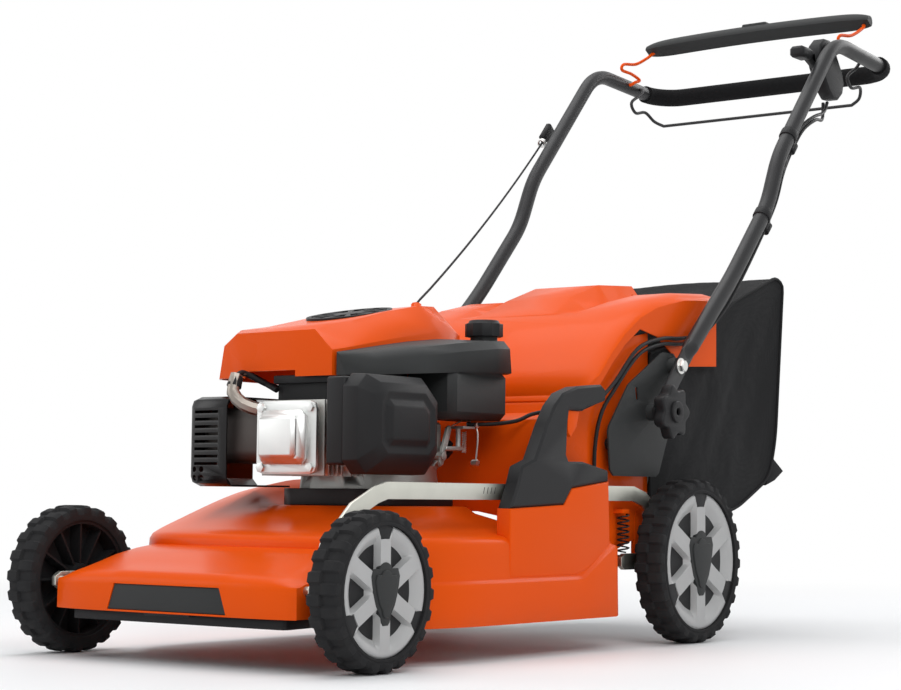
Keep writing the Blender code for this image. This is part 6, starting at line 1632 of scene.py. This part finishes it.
def make_floor(scene):
    """A pale floor that keeps the shadow, and turns into the white backdrop further out."""
    ends = (-FLOOR_HALF, FLOOR_HALF)
    mesh = mesh_of(grid([[Vector((x, y, 0)) for x in ends] for y in ends]))
    floor = bpy.data.objects.new("floor", mesh)
    scene.collection.objects.link(floor)
    finish = Shading("studio_floor", (0.93, 0.93, 0.93), 0.6)
    distance = finish.node("ShaderNodeVectorMath", {"operation": "LENGTH"}, {0: finish.place}, "Value")
    glow = finish.node("ShaderNodeEmission", {}, {"Color": WHITE, "Strength": 1.0})
    share = finish.rays("Camera", "Glossy") * finish.step(distance, 0.9, 2.6)
    plain = Term(finish, finish.shader.outputs[0])
    mixed = finish.node("ShaderNodeMixShader", {}, {0: share, 1: plain, 2: glow})
    finish.feed(finish.tree.nodes["Material Output"].inputs["Surface"], mixed)
    mesh.materials.append(finish.material)


def make_stage():
    scene = bpy.context.scene
    scene.view_settings.view_transform = "Standard"
    make_backdrop(scene)
    make_floor(scene)
    soft_light("key", (2.6, -2.4, 2.6), (0, -0.2, 0.3), (1.8, 1.8), 44)
    soft_light("top", (-0.4, -0.1, 3.0), (0, 0, 0), (2.6, 2.2), 44)
    soft_light("left_fill", (-2.8, -2.6, 1.6), (0, -0.1, 0.4), (1.6, 2.0), 20)
    soft_light("rear", (0.6, 3.2, 2.2), (0, 0, 0.5), (2.4, 1.4), 30)


# Operators and panel


class MOWER_OT_stage(bpy.types.Operator):
    """Floor, light, background and the camera at the photograph's angle"""

    bl_idname = "mower.stage"
    bl_label = "Stage"

    def execute(self, context):
        make_stage()
        make_camera()
        return {"FINISHED"}


class MOWER_OT_wheels(bpy.types.Operator):
    """Tyres, silver faces, dark caps and the black bodies behind them"""

    bl_idname = "mower.wheels"
    bl_label = "Wheels"

    def execute(self, context):
        make_wheels(context.scene.mower_sizes)
        return {"FINISHED"}


class MOWER_OT_deck(bpy.types.Operator):
    """Painted deck, nose and riser"""

    bl_idname = "mower.deck"
    bl_label = "Deck"

    def execute(self, context):
        make_deck()
        return {"FINISHED"}


class MOWER_OT_bag(bpy.types.Operator):
    """Fabric grass bag with its seams"""

    bl_idname = "mower.bag"
    bl_label = "Grass bag"

    def execute(self, context):
        make_bag(context.scene.mower_sizes)
        return {"FINISHED"}


class MOWER_OT_handle(bpy.types.Operator):
    """Tubular handle, foam sleeve, both bails and the star knobs"""

    bl_idname = "mower.handle"
    bl_label = "Handle"

    def execute(self, context):
        make_handle()
        make_knobs()
        return {"FINISHED"}


class MOWER_OT_cords(bpy.types.Operator):
    """Control cables with their clips, and the starter rope with its guide"""

    bl_idname = "mower.cords"
    bl_label = "Cables and rope"

    def execute(self, context):
        make_cords()
        make_clips()
        return {"FINISHED"}


class MOWER_OT_engine(bpy.types.Operator):
    """Exhaust guard, air filter, cooling duct, throttle rods and bright bolts"""

    bl_idname = "mower.engine"
    bl_label = "Engine details"

    def execute(self, context):
        make_guard()
        make_filter()
        make_shroud()
        make_linkage()
        make_fasteners()
        return {"FINISHED"}


class MOWER_OT_plain_parts(bpy.types.Operator):
    """Parts whose form comes straight from the model"""

    bl_idname = "mower.plain_parts"
    bl_label = "Plain parts"

    def execute(self, context):
        round_off = context.scene.mower_sizes.edge_round
        for node, finish, slot, share in PLAIN_PARTS:
            dress(node, finish, round_off * share)
        return {"FINISHED"}


PLAIN_PARTS = (
    ("rear_housing", "paint", "orange_paint", 1.0),
    ("rear_flap", "paint", "orange_paint", 0.0),
    ("engine_cover", "paint", "orange_paint", 0.0),
    ("cover_grille", "black", "black_plastic", 0.6),
    ("carry_handle", "black", "charcoal_plastic", 0.0),
    ("height_trigger", "orange_plastic", "orange_plastic", 0.8),
    ("engine_base", "black", "black_plastic", 1.2),
    ("crankcase", "cast", "cast_aluminium", 0.0),
    ("cylinder_head", "cast", "cast_aluminium", 0.5),
    ("valve_cover", "satin", "bright_steel", 1.2),
    ("fuel_tank", "moulding", "charcoal_plastic", 0.0),
    ("fuel_cap", "black", "black_plastic", 0.6),
    ("air_filter_base", "black", "black_plastic", 1.5),
    ("carburettor", "cast", "cast_aluminium", 0.6),
    ("muffler", "soot", "bright_steel", 0.0),
    ("spark_plug_boot", "shield", "bright_steel", 0.0),
    ("oil_dipstick", "black", "black_plastic", 0.8),
    ("gearbox", "cast", "cast_aluminium", 1.0),
    ("gearbox_pulley", "zinc", "bright_steel", 0.5),
    ("crankshaft", "steel", "bright_steel", 0.5),
    ("flywheel_fan", "cast", "cast_aluminium", 0.4),
    ("drive_belt", "rubber", "black_rubber", 1.0),
    ("blade", "steel", "bright_steel", 0.5),
    ("blade_bolt", "zinc", "bright_steel", 0.6),
    ("drive_shaft", "steel", "bright_steel", 0.5),
    ("front_axle", "zinc", "bright_steel", 0.6),
    ("rear_axle", "zinc", "bright_steel", 0.6),
    ("height_link", "zinc", "bright_steel", 0.6),
    ("lift_spring", "black", "black_plastic", 0.0),
    ("bag_frame", "zinc", "bright_steel", 0.0),
    ("bracket_left", "moulding", "charcoal_plastic", 0.5),
    ("bracket_right", "moulding", "charcoal_plastic", 0.5),
    ("control_housing", "black", "black_plastic", 1.2),
    ("speed_lever", "black", "black_plastic", 1.0),
    ("starter_grip", "black", "black_plastic", 1.5),
)


OPERATORS = (
    MOWER_OT_stage,
    MOWER_OT_cords,
    MOWER_OT_deck,
    MOWER_OT_wheels,
    MOWER_OT_bag,
    MOWER_OT_handle,
    MOWER_OT_engine,
    MOWER_OT_plain_parts,
)


class MOWER_PT_panel(bpy.types.Panel):
    """Sizes, colours and the pieces of the mower"""

    bl_idname = "MOWER_PT_panel"
    bl_label = "Lawn Mower"
    bl_space_type = "VIEW_3D"
    bl_region_type = "UI"
    bl_category = "Mower"

    def draw(self, context):
        scene = context.scene
        for owner, names in (
            (scene.mower_sizes, MowerSizes.__annotations__),
            (scene.mower_colours, MowerColours.__annotations__),
        ):
            box = self.layout.box()
            for name in names:
                box.prop(owner, name)
        for operator in OPERATORS:
            self.layout.operator(operator.bl_idname)


CLASSES = (MowerSizes, MowerColours, *OPERATORS, MOWER_PT_panel)


def register():
    for cls in CLASSES:
        bpy.utils.register_class(cls)
    bpy.types.Scene.mower_sizes = PointerProperty(type=MowerSizes)
    bpy.types.Scene.mower_colours = PointerProperty(type=MowerColours)


def unregister():
    del bpy.types.Scene.mower_colours
    del bpy.types.Scene.mower_sizes
    for cls in reversed(CLASSES):
        bpy.utils.unregister_class(cls)


def main():
    register()
    make_finishes(bpy.context.scene.mower_colours)
    bpy.ops.mower.stage()
    bpy.ops.mower.cords()
    bpy.ops.mower.deck()
    bpy.ops.mower.wheels()
    bpy.ops.mower.bag()
    bpy.ops.mower.handle()
    bpy.ops.mower.engine()
    bpy.ops.mower.plain_parts()


if __name__ == "__main__":
    main()
